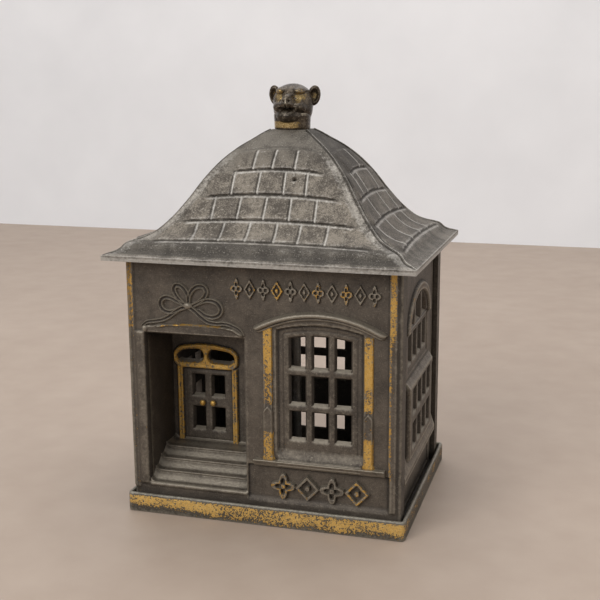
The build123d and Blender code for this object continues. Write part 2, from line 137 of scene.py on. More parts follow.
# ------------------------------------------------------------------ roof
SEAT_X, SEAT_Y = 6.5, 6.3
SCREW_HOLE_R = 2.45                # the tie screw's hole through seat, boss and neck
ROOF_T, LIP_T = 2.3, 1.75
RIB_X, RIB_Y, RIB_T, RIB_H = 43.05, 33.95, 1.6, 2.6
BELL_SHARE = (0.0, 0.05, 0.1, 0.2, 0.3, 0.4, 0.5, 0.6, 0.7, 0.765, 0.83, 0.868, 0.9, 0.93, 0.965, 1.0)
BELL_RISE = (1.0, 0.966, 0.926, 0.846, 0.741, 0.600, 0.426, 0.275, 0.165, 0.128, 0.104, 0.084, 0.044,
             0.024, 0.013, 0.0)
# Rows of plates on the front and back slopes: top, butt, left end, right end, joints.
# The first two are measured down the slope from the seat, the others across it.
FRONT_ROWS = (
    (10.6, 18.3, -16.0, 18.0, (-7.6, -0.9, 6.6)),
    (19.2, 27.6, -24.0, 24.5, (-13.8, -4.8, 3.9, 11.6)),
    (28.5, 36.9, -30.5, 31.0, (-19.25, -10.25, -1.2, 7.2, 16.0)),
    (37.8, 46.4, -38.0, 38.0, (-23.8, -14.4, -5.3, 3.9, 12.0, 21.2)),
)
SIDE_PLATES = (
    (12.6, 21.2, -13.0, 13.5, (5.2,)),
    (22.0, 30.8, -21.0, 20.0, (-11.5, -4.8, 10.8)),
    (31.6, 40.4, -25.5, 26.5, (-10.6, 5.0, 17.3)),
    (41.4, 53.6, -33.0, 33.5, (-22.3, -7.6, 6.0, 17.9)),
)
COIN_SLOT = (31.0, 2.8, 28.2)      # length, width, and its place down the back slope
# A flaw in the front slope's casting: across the slope and down it.
BLOWHOLE = (7.2, 21.7)
CRACKS = (((7.2, 21.7), (7.5, 20.2), (6.4, 18.6), (6.0, 17.2)), ((7.2, 21.8), (5.4, 22.3), (4.0, 22.2)))


# ================================================================== shapes on a plane
def smooth(t):
    """Goes from 0 to 1 without a corner: 3t^2 - 2t^3 for t from 0 to 1."""
    t = np.clip(t, 0.0, 1.0)
    return t * t * (3.0 - 2.0 * t)


def ridge(distance, half):
    """Half-round: the square root of 1 - (d / half)^2, and 0 beyond half."""
    return np.sqrt(np.clip(1.0 - (distance / half) ** 2, 0.0, 1.0))


def in_box(x, z, left, right, low, high, corner=0.0):
    """How deep a point lies inside a rectangle with rounded corners. Negative outside."""
    dx = np.abs(x - (left + right) / 2) - (right - left) / 2 + corner
    dz = np.abs(z - (low + high) / 2) - (high - low) / 2 + corner
    return corner - np.hypot(np.maximum(dx, 0), np.maximum(dz, 0)) - np.minimum(np.maximum(dx, dz), 0)


def in_bar(x, z, middle, width, height):
    """How deep a point lies inside a bar with fully rounded ends."""
    reach = np.maximum(np.abs(x - middle[0]) - (width - height) / 2, 0)
    return height / 2 - np.hypot(reach, z - middle[1])


def in_arched(x, z, middle, width, crown, low, radius=ARCH_R):
    """How deep a point lies inside a panel with a flat arch on top and a level foot."""
    under_arch = radius - np.hypot(x - middle, z - crown + radius)
    return np.minimum(np.minimum(width / 2 - np.abs(x - middle), z - low), under_arch)


def in_half_oval(y, z, half, low, rise):
    """How deep a point lies inside a half ellipse on a level line: (1 - radius ratio) by the local size."""
    ratio = np.hypot(y / half, (z - low) / rise) + 1e-6
    slope = np.hypot(y / half ** 2, (z - low) / rise ** 2) / ratio + 1e-6
    return np.minimum((1 - ratio) / slope, z - low)


def to_path(x, z, path):
    """Distance to a broken line: the least distance to any of its straight pieces."""
    nearest = np.full(np.shape(x), 1e9)
    for (ax, az), (bx, bz) in zip(path, path[1:]):
        length = (bx - ax) ** 2 + (bz - az) ** 2
        t = np.clip(((x - ax) * (bx - ax) + (z - az) * (bz - az)) / length, 0, 1)
        nearest = np.minimum(nearest, np.hypot(x - ax - t * (bx - ax), z - az - t * (bz - az)))
    return nearest


def curve_through(knots, values, at):
    """Smooth curve through points: cubic pieces whose slopes are the mean of the slopes beside them."""
    knots, values = np.asarray(knots, float), np.asarray(values, float)
    slopes = np.gradient(values, knots, axis=0)
    i = np.clip(np.searchsorted(knots, at) - 1, 0, len(knots) - 2)
    gap = knots[i + 1] - knots[i]
    t = (at - knots[i]) / gap
    if values.ndim > 1:
        t, gap = t[:, None], gap[:, None]
    a = values[i] * (1 + 2 * t) * (1 - t) ** 2 + values[i + 1] * t ** 2 * (3 - 2 * t)
    return a + gap * (slopes[i] * t * (1 - t) ** 2 - slopes[i + 1] * t ** 2 * (1 - t))


def smooth_path(points, count):
    """A smooth curve through points, at even steps of the distance between them."""
    points = np.asarray(points, float)
    knots = np.append(0, np.cumsum(np.linalg.norm(np.diff(points, axis=0), axis=1)))
    return curve_through(knots, points, np.linspace(0, knots[-1], count))


def grid_lines(stops, step):
    """Lines from the first stop to the last, with one on each stop and gaps of no more than step."""
    stops = np.unique(np.round(stops, 4))
    runs = [np.linspace(a, b, max(1, math.ceil((b - a) / step - 1e-6)), endpoint=False)
            for a, b in zip(stops, stops[1:])]
    return np.append(np.concatenate(runs), stops[-1])


# ================================================================== meshes from grids
def add_mesh(name, points, faces, fields, finish, body, stands_for=(), crease=48):
    """Writes points in millimetres and lists of faces to a mesh, turned so that it encloses a positive
    volume."""
    volume = 0.0
    for corners in faces:
        for k in range(1, corners.shape[1] - 1):
            a, b, c = (points[corners[:, j]] for j in (0, k, k + 1))
            volume += np.einsum("ij,ij->", a, np.cross(b, c))
    if volume < 0:
        faces = [corners[:, ::-1] for corners in faces]
    sizes = np.concatenate([np.full(len(corners), corners.shape[1]) for corners in faces])
    loops = np.concatenate([corners.ravel() for corners in faces])
    mesh = bpy.data.meshes.new(name)
    mesh.vertices.add(len(points))
    mesh.vertices.foreach_set("co", (points * MM).astype(np.float32).ravel())
    mesh.loops.add(len(loops))
    mesh.loops.foreach_set("vertex_index", loops.astype(np.int32))
    mesh.polygons.add(len(sizes))
    mesh.polygons.foreach_set("loop_start", (np.cumsum(sizes) - sizes).astype(np.int32))
    mesh.update(calc_edges=True)
    mesh.validate()
    for field, values in fields.items():
        layer = mesh.attributes.new(field, "FLOAT", "POINT")
        layer.data.foreach_set("value", np.clip(values, 0, 1).astype(np.float32))
    mesh.shade_smooth()
    mesh.set_sharp_from_angle(angle=math.radians(crease))
    piece = bpy.data.objects.new(name, mesh)
    bpy.context.scene.collection.objects.link(piece)
    mesh.materials.append(finish)
    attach(piece, body)
    if stands_for:
        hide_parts(*stands_for)
    return piece


def blurred(values, passes, wrap):
    """Each value mixed with its two neighbours, 1 2 1, along both directions of the grid."""
    for _ in range(passes):
        for axis in (0, 1):
            rolled = [np.roll(values, shift, axis=axis) for shift in (1, -1)]
            if not wrap[axis]:
                ends = [np.take(values, [k], axis=axis) for k in (0, -1)]
                inside = [np.take(r, range(1, values.shape[axis]) if k == 0 else
                                  range(values.shape[axis] - 1), axis=axis) for k, r in enumerate(rolled)]
                rolled = [np.concatenate([ends[0], inside[0]], axis=axis),
                          np.concatenate([inside[1], ends[1]], axis=axis)]
            values = 0.5 * values + 0.25 * (rolled[0] + rolled[1])
    return values


def grid_normals(points, wrap):
    """Normal at each point of a grid: the cross product of the differences along its two directions."""
    def change(axis):
        ahead, behind = np.roll(points, -1, axis=axis), np.roll(points, 1, axis=axis)
        if not wrap[axis]:
            edge = [slice(None)] * 3
            edge[axis] = -1
            ahead[tuple(edge)] = points[tuple(edge)]
            edge[axis] = 0
            behind[tuple(edge)] = points[tuple(edge)]
        return ahead - behind
    normals = np.cross(change(0), change(1))
    return normals / (np.linalg.norm(normals, axis=-1, keepdims=True) + 1e-9)


def handled(points, wrap=(False, False), outward=1.0, gain=1.0):
    """Where handling rubs a casting bare and where dirt stays: how far each point stands out from, or lies
    under, the mean of its neighbours, near and further off."""
    normals = grid_normals(points, wrap) * outward
    near = np.einsum("ijk,ijk->ij", points - blurred(points, 3, wrap), normals)
    far = np.einsum("ijk,ijk->ij", points - blurred(points, 14, wrap), normals)
    lift = gain * (near / 0.07 + far / 0.30) / 2
    return {"wear": np.clip(lift, 0, 1), "dirt": np.clip(-lift, 0, 1)}


def casting(name, across, up, relief, outline, front, back, finish, body, stands_for=(),
            fields=None, draft=DRAFT, lip=(LIP_W, LIP_DROP), gain=1.0, crease=48):
    """A casting over a grid of lines. relief(s, t) is the height at each crossing and outline(s, t) how deep
    a crossing lies inside an opening. Crossings beside an opening are drawn on to its edge, the face is
    rounded down towards it, and the back face follows with the pattern's draft. front(s, t, height) and
    back(s, t) give the points. Lower reveals get more draft and a painted highlight, as if lit from above;
    the rest of the back face is made darker."""
    s, t = np.meshgrid(across, up, indexing="ij")
    columns, rows = s.shape
    middle_s = (s[:-1, :-1] + s[1:, 1:]) / 2
    middle_t = (t[:-1, :-1] + t[1:, 1:]) / 2
    metal = outline(middle_s, middle_t) < 0

    def beside(cells):
        """Which crossings touch one of these cells."""
        wide = np.pad(cells, 1)
        return wide[:-1, :-1] | wide[1:, :-1] | wide[:-1, 1:] | wide[1:, 1:]

    edge = beside(metal) & beside(~metal)
    e = 0.02
    depth = outline(s, t)
    slope_s = (outline(s + e, t) - outline(s - e, t)) / (2 * e)
    slope_t = (outline(s, t + e) - outline(s, t - e)) / (2 * e)
    steep = slope_s ** 2 + slope_t ** 2 + 1e-6
    pull = np.where(edge, np.clip(depth / steep, -1.0, 1.0), 0)
    s, t = s - pull * slope_s, t - pull * slope_t
    depth = np.where(edge, 0, outline(s, t))
    height = relief(s, t) - lip[1] * (1 - np.clip(-depth / lip[0], 0, 1)) ** 2
    face = front(s, t, height)
    draft = draft(s, t) if callable(draft) else draft
    sill = edge * smooth((slope_t / np.sqrt(steep) - 0.6) / 0.2)
    shift = np.where(edge, draft * (1 + 0.9 * sill) / np.sqrt(steep), 0)
    behind = back(s + shift * slope_s, t + shift * slope_t)

    used = beside(metal)
    number = np.full(s.shape, -1)
    number[used] = np.arange(used.sum())
    total = int(used.sum())
    i, j = np.nonzero(metal)
    a, b, c, d = number[i, j], number[i + 1, j], number[i + 1, j + 1], number[i, j + 1]
    faces = [np.stack([a, b, c, d], 1), np.stack([a, d, c, b], 1) + total]
    wide = np.pad(metal, 1)
    for di, dj, first, second in ((-1, 0, (0, 0), (0, 1)), (1, 0, (1, 1), (1, 0)),
                                  (0, -1, (1, 0), (0, 0)), (0, 1, (0, 1), (1, 1))):
        i, j = np.nonzero(metal & ~wide[1 + di:wide.shape[0] - 1 + di, 1 + dj:wide.shape[1] - 1 + dj])
        p, q = number[i + first[0], j + first[1]], number[i + second[0], j + second[1]]
        faces.append(np.stack([p, q, q + total, p + total], 1))

    outward = np.sign(np.mean(np.einsum("ijk,ijk->ij", grid_normals(face, (False, False)), face - behind)))
    marks = handled(face, outward=outward, gain=gain)
    for field, values in (fields(s, t) if fields else {}).items():
        marks[field] = np.clip(marks.get(field, 0) + values, 0, 1)
    # Painted highlight on the lower reveals at front and back; elsewhere the back face is darkened by 0.30.
    behind_marks = {"wear": np.minimum(2 * sill, 1), "dirt": 0.30 * (1 - sill)}
    marks["wear"] = np.minimum(marks["wear"] + 2 * sill, 1)
    both = {field: np.concatenate([values[used], behind_marks.get(field, 0 * s)[used]])
            for field, values in marks.items()}
    points = np.concatenate([face[used], behind[used]])
    return add_mesh(name, points, faces, both, finish, body, stands_for, crease)


def tube_faces(rings, around, closed):
    """Faces of a run of closed rings: side faces, and at each open end a fan to one more point."""
    i, j = np.meshgrid(np.arange(rings if closed else rings - 1), np.arange(around), indexing="ij")
    n, m = (i + 1) % rings, (j + 1) % around
    sides = np.stack([i * around + j, n * around + j, n * around + m, i * around + m], -1).reshape(-1, 4)
    if closed:
        return [sides]
    j = np.arange(around)
    k = (j + 1) % around
    first = np.stack([np.full(around, rings * around), j, k], 1)
    last = np.stack([np.full(around, rings * around + 1), k + (rings - 1) * around,
                     j + (rings - 1) * around], 1)
    return [sides, first, last]


def tube(name, rings, finish, body, stands_for=(), closed=False, fields=None, gain=1.0, crease=48):
    """A closed skin over a grid of points whose second direction runs round."""
    count, around = rings.shape[:2]
    centre = rings.mean(axis=1, keepdims=True)
    outward = np.sign(np.mean(np.einsum("ijk,ijk->ij", grid_normals(rings, (closed, True)), rings - centre)))
    marks = handled(rings, (closed, True), outward, gain)
    for field, values in (fields or {}).items():
        marks[field] = np.clip(marks.get(field, 0) + values, 0, 1)
    points = rings.reshape(-1, 3)
    values = {field: np.broadcast_to(v, (count, around)).ravel() for field, v in marks.items()}
    if not closed:
        points = np.concatenate([points, centre[0], centre[-1]])
        values = {field: np.concatenate([v, v[:1], v[-1:]]) for field, v in values.items()}
    return add_mesh(name, points, tube_faces(count, around, closed), values, finish, body, stands_for,
                    crease)


def moulding_rings(path, profile, front, taper=None):
    """A profile carried along a path on a wall: across the path by the profile's first number, out from the
    wall by its second. taper shrinks it along the path."""
    path, profile = np.asarray(path, float), np.asarray(profile, float)
    along = np.gradient(path, axis=0)
    along /= np.linalg.norm(along, axis=1, keepdims=True)
    taper = np.ones(len(path)) if taper is None else taper
    offset, height = np.outer(taper, profile[:, 0]), np.outer(taper, profile[:, 1])
    s = path[:, :1] - along[:, 1:] * offset
    t = path[:, 1:] + along[:, :1] * offset
    return front(s, t, height)


def lathe_rings(profile, around):
    """A profile of radius and height turned about an upright axis."""
    profile = np.asarray(profile, float)
    angle = np.linspace(0, 2 * math.pi, around, endpoint=False)
    r, z = profile[:, :1], profile[:, 1:]
    return np.stack([r * np.cos(angle), r * np.sin(angle), np.broadcast_to(z, (len(profile), around))], -1)


# ================================================================== materials
class Level:
    """A socket that carries a number. Arithmetic on it adds Math nodes."""

    def __init__(self, shop, socket):
        self.shop, self.socket = shop, socket

    def maths(self, operation, *others):
        sockets = {0: self, **dict(enumerate(others, 1))}
        node = self.shop.node("ShaderNodeMath", {"operation": operation}, sockets)
        return Level(self.shop, node.outputs[0])

    def __add__(self, other):
        return self.maths("ADD", other)

    def __mul__(self, other):
        return self.maths("MULTIPLY", other)

    def __sub__(self, other):
        return self.maths("SUBTRACT", other)

    def __rsub__(self, other):
        return self.maths("MULTIPLY_ADD", -1.0, other)

    def __truediv__(self, other):
        return self.maths("DIVIDE", other)

    __radd__, __rmul__ = __add__, __mul__

    def clamped(self):
        """Held between 0 and 1."""
        return self.maths("MAXIMUM", 0.0).maths("MINIMUM", 1.0)

    def step(self, middle, width):
        """Goes from 0 to 1 over a width about a middle value."""
        return ((self - (middle - width / 2)) / width).clamped()


class Shop:
    """Builds one material's nodes."""

    def __init__(self, name):
        self.material = bpy.data.materials.new(name)
        self.material.use_nodes = True
        self.tree = self.material.node_tree
        self.shader = self.tree.nodes["Principled BSDF"]
        self.place = self.node("ShaderNodeTexCoord").outputs["Object"]

    def node(self, kind, settings=None, sockets=None):
        """A node of a type, with its settings first and then the values or links of its sockets."""
        made = self.tree.nodes.new(kind)
        for key, value in (settings or {}).items():
            if key == "stops":
                for stop in list(made.color_ramp.elements)[1:]:
                    made.color_ramp.elements.remove(stop)
                made.color_ramp.elements[0].position, made.color_ramp.elements[0].color = value[0]
                for position, colour in value[1:]:
                    made.color_ramp.elements.new(position).color = colour
            else:
                setattr(made, key, value)
        for key, value in (sockets or {}).items():
            self.feed(made.inputs[key], value)
        return made

    def feed(self, socket, value):
        """Links a socket, or sets its value."""
        if isinstance(value, Level):
            value = value.socket
        if isinstance(value, bpy.types.NodeSocket):
            self.tree.links.new(value, socket)
        else:
            socket.default_value = value

    def noise(self, scale, detail=2.0, roughness=0.5, distortion=0.0):
        """Fractal noise with so many features to the metre."""
        made = self.node("ShaderNodeTexNoise", {}, {"Vector": self.place, "Scale": scale, "Detail": detail,
                                                    "Roughness": roughness, "Distortion": distortion})
        return Level(self, made.outputs["Fac"])

    def field(self, name):
        """One of the mesh's own fields."""
        return Level(self, self.node("ShaderNodeAttribute", {"attribute_name": name}).outputs["Fac"])

    def ramp(self, level, stops):
        """Colour from a number."""
        stops = [(position, (*colour, 1.0)) for position, colour in stops]
        return self.node("ShaderNodeValToRGB", {"stops": stops}, {"Fac": level}).outputs["Color"]

    def mix(self, share, first, second):
        """Colour between two colours."""
        node = self.node("ShaderNodeMix", {"data_type": "RGBA"}, {"Factor": share})
        for socket, value in ((node.inputs[6], first), (node.inputs[7], second)):
            self.feed(socket, (*value, 1.0) if isinstance(value, tuple) else value)
        return node.outputs[2]

    def bump(self, height, strength, distance):
        """Normal from a height in metres."""
        sockets = {"Height": height, "Strength": strength, "Distance": distance}
        return self.node("ShaderNodeBump", {}, sockets).outputs["Normal"]

    def finish(self, **sockets):
        """The material, with the shader's sockets fed: base_color goes to Base Color, and so on."""
        for key, value in sockets.items():
            self.feed(self.shader.inputs[key.replace("_", " ").title()], value)
        return self.material


def iron(name, dark, light, bare, grime_and_shade, sheen=(0.58, 0.42), metal=0.3, grain=1.0, gold=None, plates=None,
         spread=0.30):
    """Japanned cast iron: a dark coat that varies in patches, rubbed bare on its high places, grimed in its
    low ones and grained by the sand mould, with worn gold paint where the gold field says. The wear field
    also carries painted highlights and the dirt field painted shade, so the bare colour is also a painted
    highlight and the grime colour also painted shade. sheen is the roughness of the coat and of bare iron,
    plates the two tones of the roof's plates, and spread how gently the coat goes from dark to light."""
    shop = Shop(name)
    fine = shop.noise(2600, 2, 0.6)
    coarse = shop.noise(1000, 3, 0.6)
    patch = shop.noise(170, 4, 0.62, 0.4)
    cloud = shop.noise(38, 2, 0.5)
    # Both fields carry real wear and grime and also painted light: highlights in the wear field, shade in the
    # dirt field.
    wear, dirt = shop.field("wear"), shop.field("dirt")
    tone = (patch * 0.5 + cloud * 0.35 + fine * 0.45 + coarse * 0.30 - 0.3).step(0.5, spread)
    colour = shop.mix(tone, dark, light)
    if plates:
        cover = shop.field("plate") * 0.9 + (patch - 0.5) * 0.5
        colour = shop.mix(cover.clamped() * 0.85, colour, shop.mix(tone, plates[0], plates[1]))
    # low: grime in hollows plus painted shade from the dirt field; it darkens the coat, roughens it and dulls
    # the gold.
    low = (dirt * 1.15 + (coarse - 0.5) * 0.8 - 0.06).clamped()
    colour = shop.mix(low * 0.85, colour, grime_and_shade)
    # rub: iron rubbed bare, plus painted highlights from the wear field.
    rub_and_highlight = (wear * 1.25 + (coarse - 0.5) * 1.3 + (patch - 0.5) * 0.9 - 0.26).clamped()
    speck = (fine * 0.6 + coarse * 0.4).step(0.62, 0.07) * 0.40
    shine = (rub_and_highlight * 0.85 + speck).clamped()
    colour = shop.mix(shine, colour, bare)
    rough = sheen[0] - shine * (sheen[0] - sheen[1]) + low * 0.15 + (coarse - 0.5) * 0.16
    height = fine * 0.45 + coarse * 0.9 + patch * 0.6
    metallic = metal + shine * 0.25
    if gold:
        hold = shop.field("gold")
        flake = coarse * 0.38 + patch * 0.24 + fine * 0.38
        paint = (hold * 2.6 - (flake - 0.5) * 9.5 - low * 0.5).step(1.62, 0.30)
        leaf = shop.mix((fine * 0.5 + coarse * 0.5).step(0.5, 0.22), gold[0], gold[1])
        leaf = shop.mix((low * 0.8).clamped(), leaf, gold[2])
        colour = shop.mix(paint, colour, leaf)
        metallic = metallic + paint * 0.15
        height = height + paint * 0.5
    return shop.finish(base_color=colour, roughness=rough.clamped(), metallic=metallic.clamped(),
                       normal=shop.bump(height, 0.55 * grain, 0.0003))


# Gold paint: its two tones, and the dark tone it takes under grime and painted shade.
GOLD = ((0.40, 0.215, 0.035), (0.62, 0.40, 0.12), (0.07, 0.035, 0.008))
WALL_IRON = iron("wall_japan", (0.040, 0.031, 0.023), (0.106, 0.085, 0.064), (0.235, 0.205, 0.162),
                 (0.010, 0.007, 0.005), gold=GOLD)
BASE_IRON = iron("base_japan", (0.028, 0.023, 0.017), (0.080, 0.066, 0.048), (0.24, 0.22, 0.18),
                 (0.010, 0.007, 0.005), gold=((0.47, 0.27, 0.06), (0.70, 0.48, 0.17), GOLD[2]))
ROOF_IRON = iron("roof_iron", (0.056, 0.047, 0.037), (0.208, 0.185, 0.154), (0.39, 0.37, 0.34),
                 (0.020, 0.016, 0.012), sheen=(0.55, 0.38), metal=0.4, spread=0.17,
                 plates=((0.050, 0.040, 0.030), (0.182, 0.156, 0.124)))
FINIAL_IRON = iron("finial_lacquer", (0.014, 0.010, 0.007), (0.080, 0.058, 0.036), (0.36, 0.32, 0.25),
                   (0.004, 0.003, 0.002), sheen=(0.27, 0.20), metal=0.55, grain=0.6,
                   gold=((0.22, 0.145, 0.050), (0.46, 0.34, 0.16), (0.05, 0.03, 0.01)))
DARK_IRON = iron("inside_iron", (0.018, 0.013, 0.010), (0.045, 0.036, 0.030), (0.12, 0.11, 0.10),
                 (0.006, 0.005, 0.004))
STEEL = iron("screw_steel", (0.16, 0.14, 0.12), (0.32, 0.30, 0.27), (0.55, 0.53, 0.50),
             (0.03, 0.02, 0.015), sheen=(0.45, 0.30), metal=0.9)


# ================================================================== base tray
def rounded_ring(half_x, half_y, corner, step):
    """Points and outward directions round a rectangle with rounded corners."""
    places, outs = [], []
    for quarter in range(4):
        turn = quarter * math.pi / 2
        run, reach = (half_x, half_y) if quarter % 2 == 0 else (half_y, half_x)
        line = np.linspace(-run + corner, run - corner, int(2 * run / step), endpoint=False)
        bend = np.linspace(0, math.pi / 2, 7, endpoint=False)
        x = np.concatenate([line, run - corner + corner * np.sin(bend)])
        y = np.concatenate([np.full_like(line, -reach), -reach + corner - corner * np.cos(bend)])
        ox = np.concatenate([np.zeros_like(line), np.sin(bend)])
        oy = np.concatenate([-np.ones_like(line), -np.cos(bend)])
        c, s = math.cos(turn), math.sin(turn)
        places.append(np.stack([c * x - s * y, s * x + c * y], 1))
        outs.append(np.stack([c * ox - s * oy, s * ox + c * oy], 1))
    return np.concatenate(places), np.concatenate(outs)


def base_rim():
    """The tray's rim: one profile carried round the base, its top a little uneven from the mould."""
    place, out = rounded_ring(BASE_X, BASE_Y, 1.6, 0.7)
    profile = np.array([(-1.3, 0.0), (-0.25, 0.0), (-0.03, 0.22), (0.0, 0.6), (0.0, 1.6), (-0.02, 2.7),
                        (0.0, 3.8), (-0.02, 4.9), (0.0, 5.8), (-0.05, 6.35), (-0.22, 6.72), (-0.5, 6.88),
                        (-0.85, 6.86), (-1.12, 6.7), (-1.27, 6.4), (-1.3, 5.6), (-1.3, 3.4)])
    wave = 0.09 * np.sin(place[:, 0] * 0.31 + 1.0) * np.sin(place[:, 1] * 0.23) - 0.09
    offset = np.broadcast_to(profile[:, 0], (len(place), len(profile)))
    height = profile[:, 1] + np.outer(wave, np.clip(profile[:, 1] / RIM_TOP - 0.5, 0, 1))
    rings = np.stack([place[:, :1] + out[:, :1] * offset, place[:, 1:] + out[:, 1:] * offset, height], -1)
    x, y = place[:, 0], place[:, 1]
    bare = 0.5 + 0.5 * np.sin(x * 0.13 + 2.2) * np.sin(x * 0.041 + y * 0.11 + 0.6)
    on_side = smooth((np.abs(x) - BASE_X + 0.5) / 0.4)
    cover = (0.80 - 0.14 * bare) * (1 - 0.42 * on_side)
    band = smooth(profile[:, 1] / 0.5) * smooth((6.3 - profile[:, 1]) / 0.6) * (profile[:, 0] > -0.3)
    low = np.clip(1 - profile[:, 1] / 3.0, 0, 1)
    worn_foot = 0.35 + 0.75 * smooth((x + 12) / -22) + 0.3 * smooth((x - 28) / 12)
    gold = np.outer(cover, band) - np.outer(worn_foot, low)
    tube("base_rim", rings, BASE_IRON, "house", ("base_plate",), closed=True,
         fields={"gold": gold}, gain=0.4)


def base_floor():
    """The tray's floor and the boss that the tie screw passes through."""
    inside_x, inside_y = BASE_X - 1.25, BASE_Y - 1.25
    across = grid_lines([-inside_x, -8, 8, inside_x], 2.0)
    along = grid_lines([-inside_y, -8, 8, inside_y], 2.0)
    casting("base_floor", across, along, lambda x, y: 0 * x, lambda x, y: 5.6 - np.hypot(x, y),
            lambda x, y, h: np.stack([x, y, FLOOR + h], -1), lambda x, y: np.stack([x, y, 0 * x], -1),
            DARK_IRON, "house", ("base_plate",), draft=0.0)
    boss = [(5.1, 0.0), (7.9, 0.0), (8.0, 0.1), (8.0, 5.9), (7.7, 6.3), (7.4, 6.4), (2.9, 6.4), (2.45, 6.1),
            (2.45, 2.9), (5.1, 2.9)]
    tube("base_boss", lathe_rings(boss, 64), DARK_IRON, "house", ("base_plate",), closed=True,
         crease=30)


# ================================================================== front and back walls
def wrapped(s, t, out):
    """A wall face that turns a rounded corner into each flange: along the front, round a quarter circle, then
    back along the side."""
    run = np.abs(s) - (HALF_W - CORNER_R)
    angle = np.clip(run / CORNER_R, 0, math.pi / 2)
    x = HALF_W - CORNER_R + np.minimum(run, 0) + (CORNER_R + out) * np.sin(angle)
    y = FRONT + CORNER_R - (CORNER_R + out) * np.cos(angle) + np.maximum(run - CORNER_R * math.pi / 2, 0)
    return np.stack([np.sign(s) * x, y, t], -1)


FLANGE_END = HALF_W - CORNER_R + CORNER_R * math.pi / 2 + FLANGE_L - CORNER_R


def wrapped_back(s, t):
    """The inside of the same wall, with a sharp inner corner."""
    corner = HALF_W - CORNER_R + CORNER_R * math.pi / 4
    inner = HALF_W - FLANGE_T
    q = np.interp(np.abs(s), [0, 42.0, corner, FLANGE_END], [0, 42.0, inner, inner + FLANGE_L - WALL_T])
    return np.stack([np.sign(s) * np.minimum(q, inner), FRONT + WALL_T + np.maximum(q - inner, 0), t], -1)


def turned(points):
    """Half a turn about the upright axis, which brings a front to the back."""
    return points * np.array([-1.0, -1.0, 1.0])


def sunk(front, depth):
    """The back face of a raised piece: its wall's face, so far below the surface."""
    return lambda s, t: front(s, t, np.full(np.shape(s), -depth))


def window_openings(x, z, middle):
    """How deep a point lies in one of the nine lights, whose top row runs up to the flat arch."""
    inside = np.full(np.shape(x), -1e3)
    for column in (-1, 0, 1):
        left = middle + column * (LIGHT_W + BAR) - LIGHT_W / 2
        for low, high in LIGHT_ROWS:
            light = in_box(x, z, left, left + LIGHT_W, low, high, 0.35)
            if high > 60:
                light = np.minimum(light, in_arched(x, z, middle, 60, high, low - 5))
            inside = np.maximum(inside, light)
    return inside


def window_relief(x, z, middle, left, right):
    """The window's part of the wall: a sunk arched field with a sloped foot, and a sunk apron below."""
    field = in_arched(x, z, middle, SASH_W, SASH_CROWN, LEDGE_TOP)
    height = -SASH_SINK * smooth(field / SOFT)
    foot = smooth(in_box(x, z, middle - SASH_W / 2, middle + SASH_W / 2, LEDGE_LOW, SASH_LOW + 0.4) / 0.5)
    slope = np.clip((SASH_LOW + 0.4 - z) / (SASH_LOW + 0.4 - LEDGE_TOP), 0, 1) ** 1.6
    height = height + foot * slope * 1.7
    frame_line = np.abs(in_arched(x, z, middle, SASH_W - 3.6, SASH_CROWN - 1.6, LEDGE_TOP - 8) - 0.4)
    height = height - 0.18 * smooth(1 - frame_line / 0.5) * (z > SASH_LOW)
    apron = in_box(x, z, left, right, APRON[2] - 1.2, APRON[3], 0.4)
    bottom = smooth((z - (APRON[2] - 1.2)) / 2.2)
    return height - APRON_SINK * smooth(apron / SOFT) * bottom


def strip(x, left, right, soft=0.35):
    """1 between two sides, with soft edges."""
    return smooth((x - left) / soft + 0.5) * smooth((right - x) / soft + 0.5)


def front_relief(s, z):
    """Corner strips, the bead beside the porch, the porch rail and the window's fields."""
    height = window_relief(s, z, WINDOW_X, APRON[0], APRON[1])
    for sides in (STRIP_LEFT, STRIP_RIGHT):
        height = height + STRIP_OUT * strip(s, *sides) * smooth((z - STRIP_FOOT) / 1.0)
    bead = ridge(s - BEAD_X, BEAD_HALF) * smooth((z - 9.5) / 1.2) * smooth((65.2 - z) / 0.8)
    return height + BEAD_OUT * bead + 0.30 * ridge(z - 10.0, 0.7) * strip(s, *PORCH[:2])


def front_gold_and_painted_light(s, z):
    """Gold paint on the corner strips, with the flecks under the eave; a painted highlight on the sash's
    sloped foot, and painted shade on the corners and along the crease over the tray's rim.
    """
    left = strip(s, -47.5, -45.4) * (0.34 + 0.44 * smooth((z - 60) / 16))
    right = strip(s, 43.4, 45.5) * (0.18 + 0.58 * smooth((z - 62) / 10))
    line = strip(s, 43.3, 44.2) * 0.62 * smooth((z - 14) / 8)
    flecks = smooth((z - 88.2) / 0.5) * (0.42 + 0.30 * np.sin(s * 0.52) * np.sin(s * 0.17 + 1.1))
    edges = 0.34 * smooth(1 - np.abs(s + 41.9) / 0.6) * smooth((z - 12) / 4) * smooth((66 - z) / 2)
    # foot: painted highlight on the sloped foot under the sash, which faces up.
    foot = strip(s, WINDOW_X - SASH_W / 2, WINDOW_X + SASH_W / 2)
    foot = foot * strip(z, LEDGE_TOP + 0.3, SASH_LOW + 0.6, 0.8)
    # corner: painted shade on the rounded corners and on the flanges beside the side walls.
    corner = 0.55 * strip(np.abs(s), 45.9, 48.6, 0.8) + 0.4 * smooth((np.abs(s) - 48.6) / 0.5)
    # crease: painted shade where the wall meets the tray's rim.
    crease = 0.35 * strip(z, RIM_TOP - 1, RIM_TOP + 1.6, 1.0)
    return {"gold": np.maximum.reduce([left, right, line, flecks, edges]), "wear": 0.42 * foot,
            "dirt": np.maximum(corner, crease)}


def wall_lines(stops_s, stops_z, step):
    """Grid lines of a wrapped wall: on the flange ends, the corners and each opening's sides."""
    corner = HALF_W - CORNER_R
    bend = corner + CORNER_R * math.pi / 2
    s = [-FLANGE_END, -bend, -corner, corner, bend, FLANGE_END, *stops_s]
    return grid_lines(s, step), grid_lines([FLOOR, RIM_TOP, EAVE, *stops_z], step)


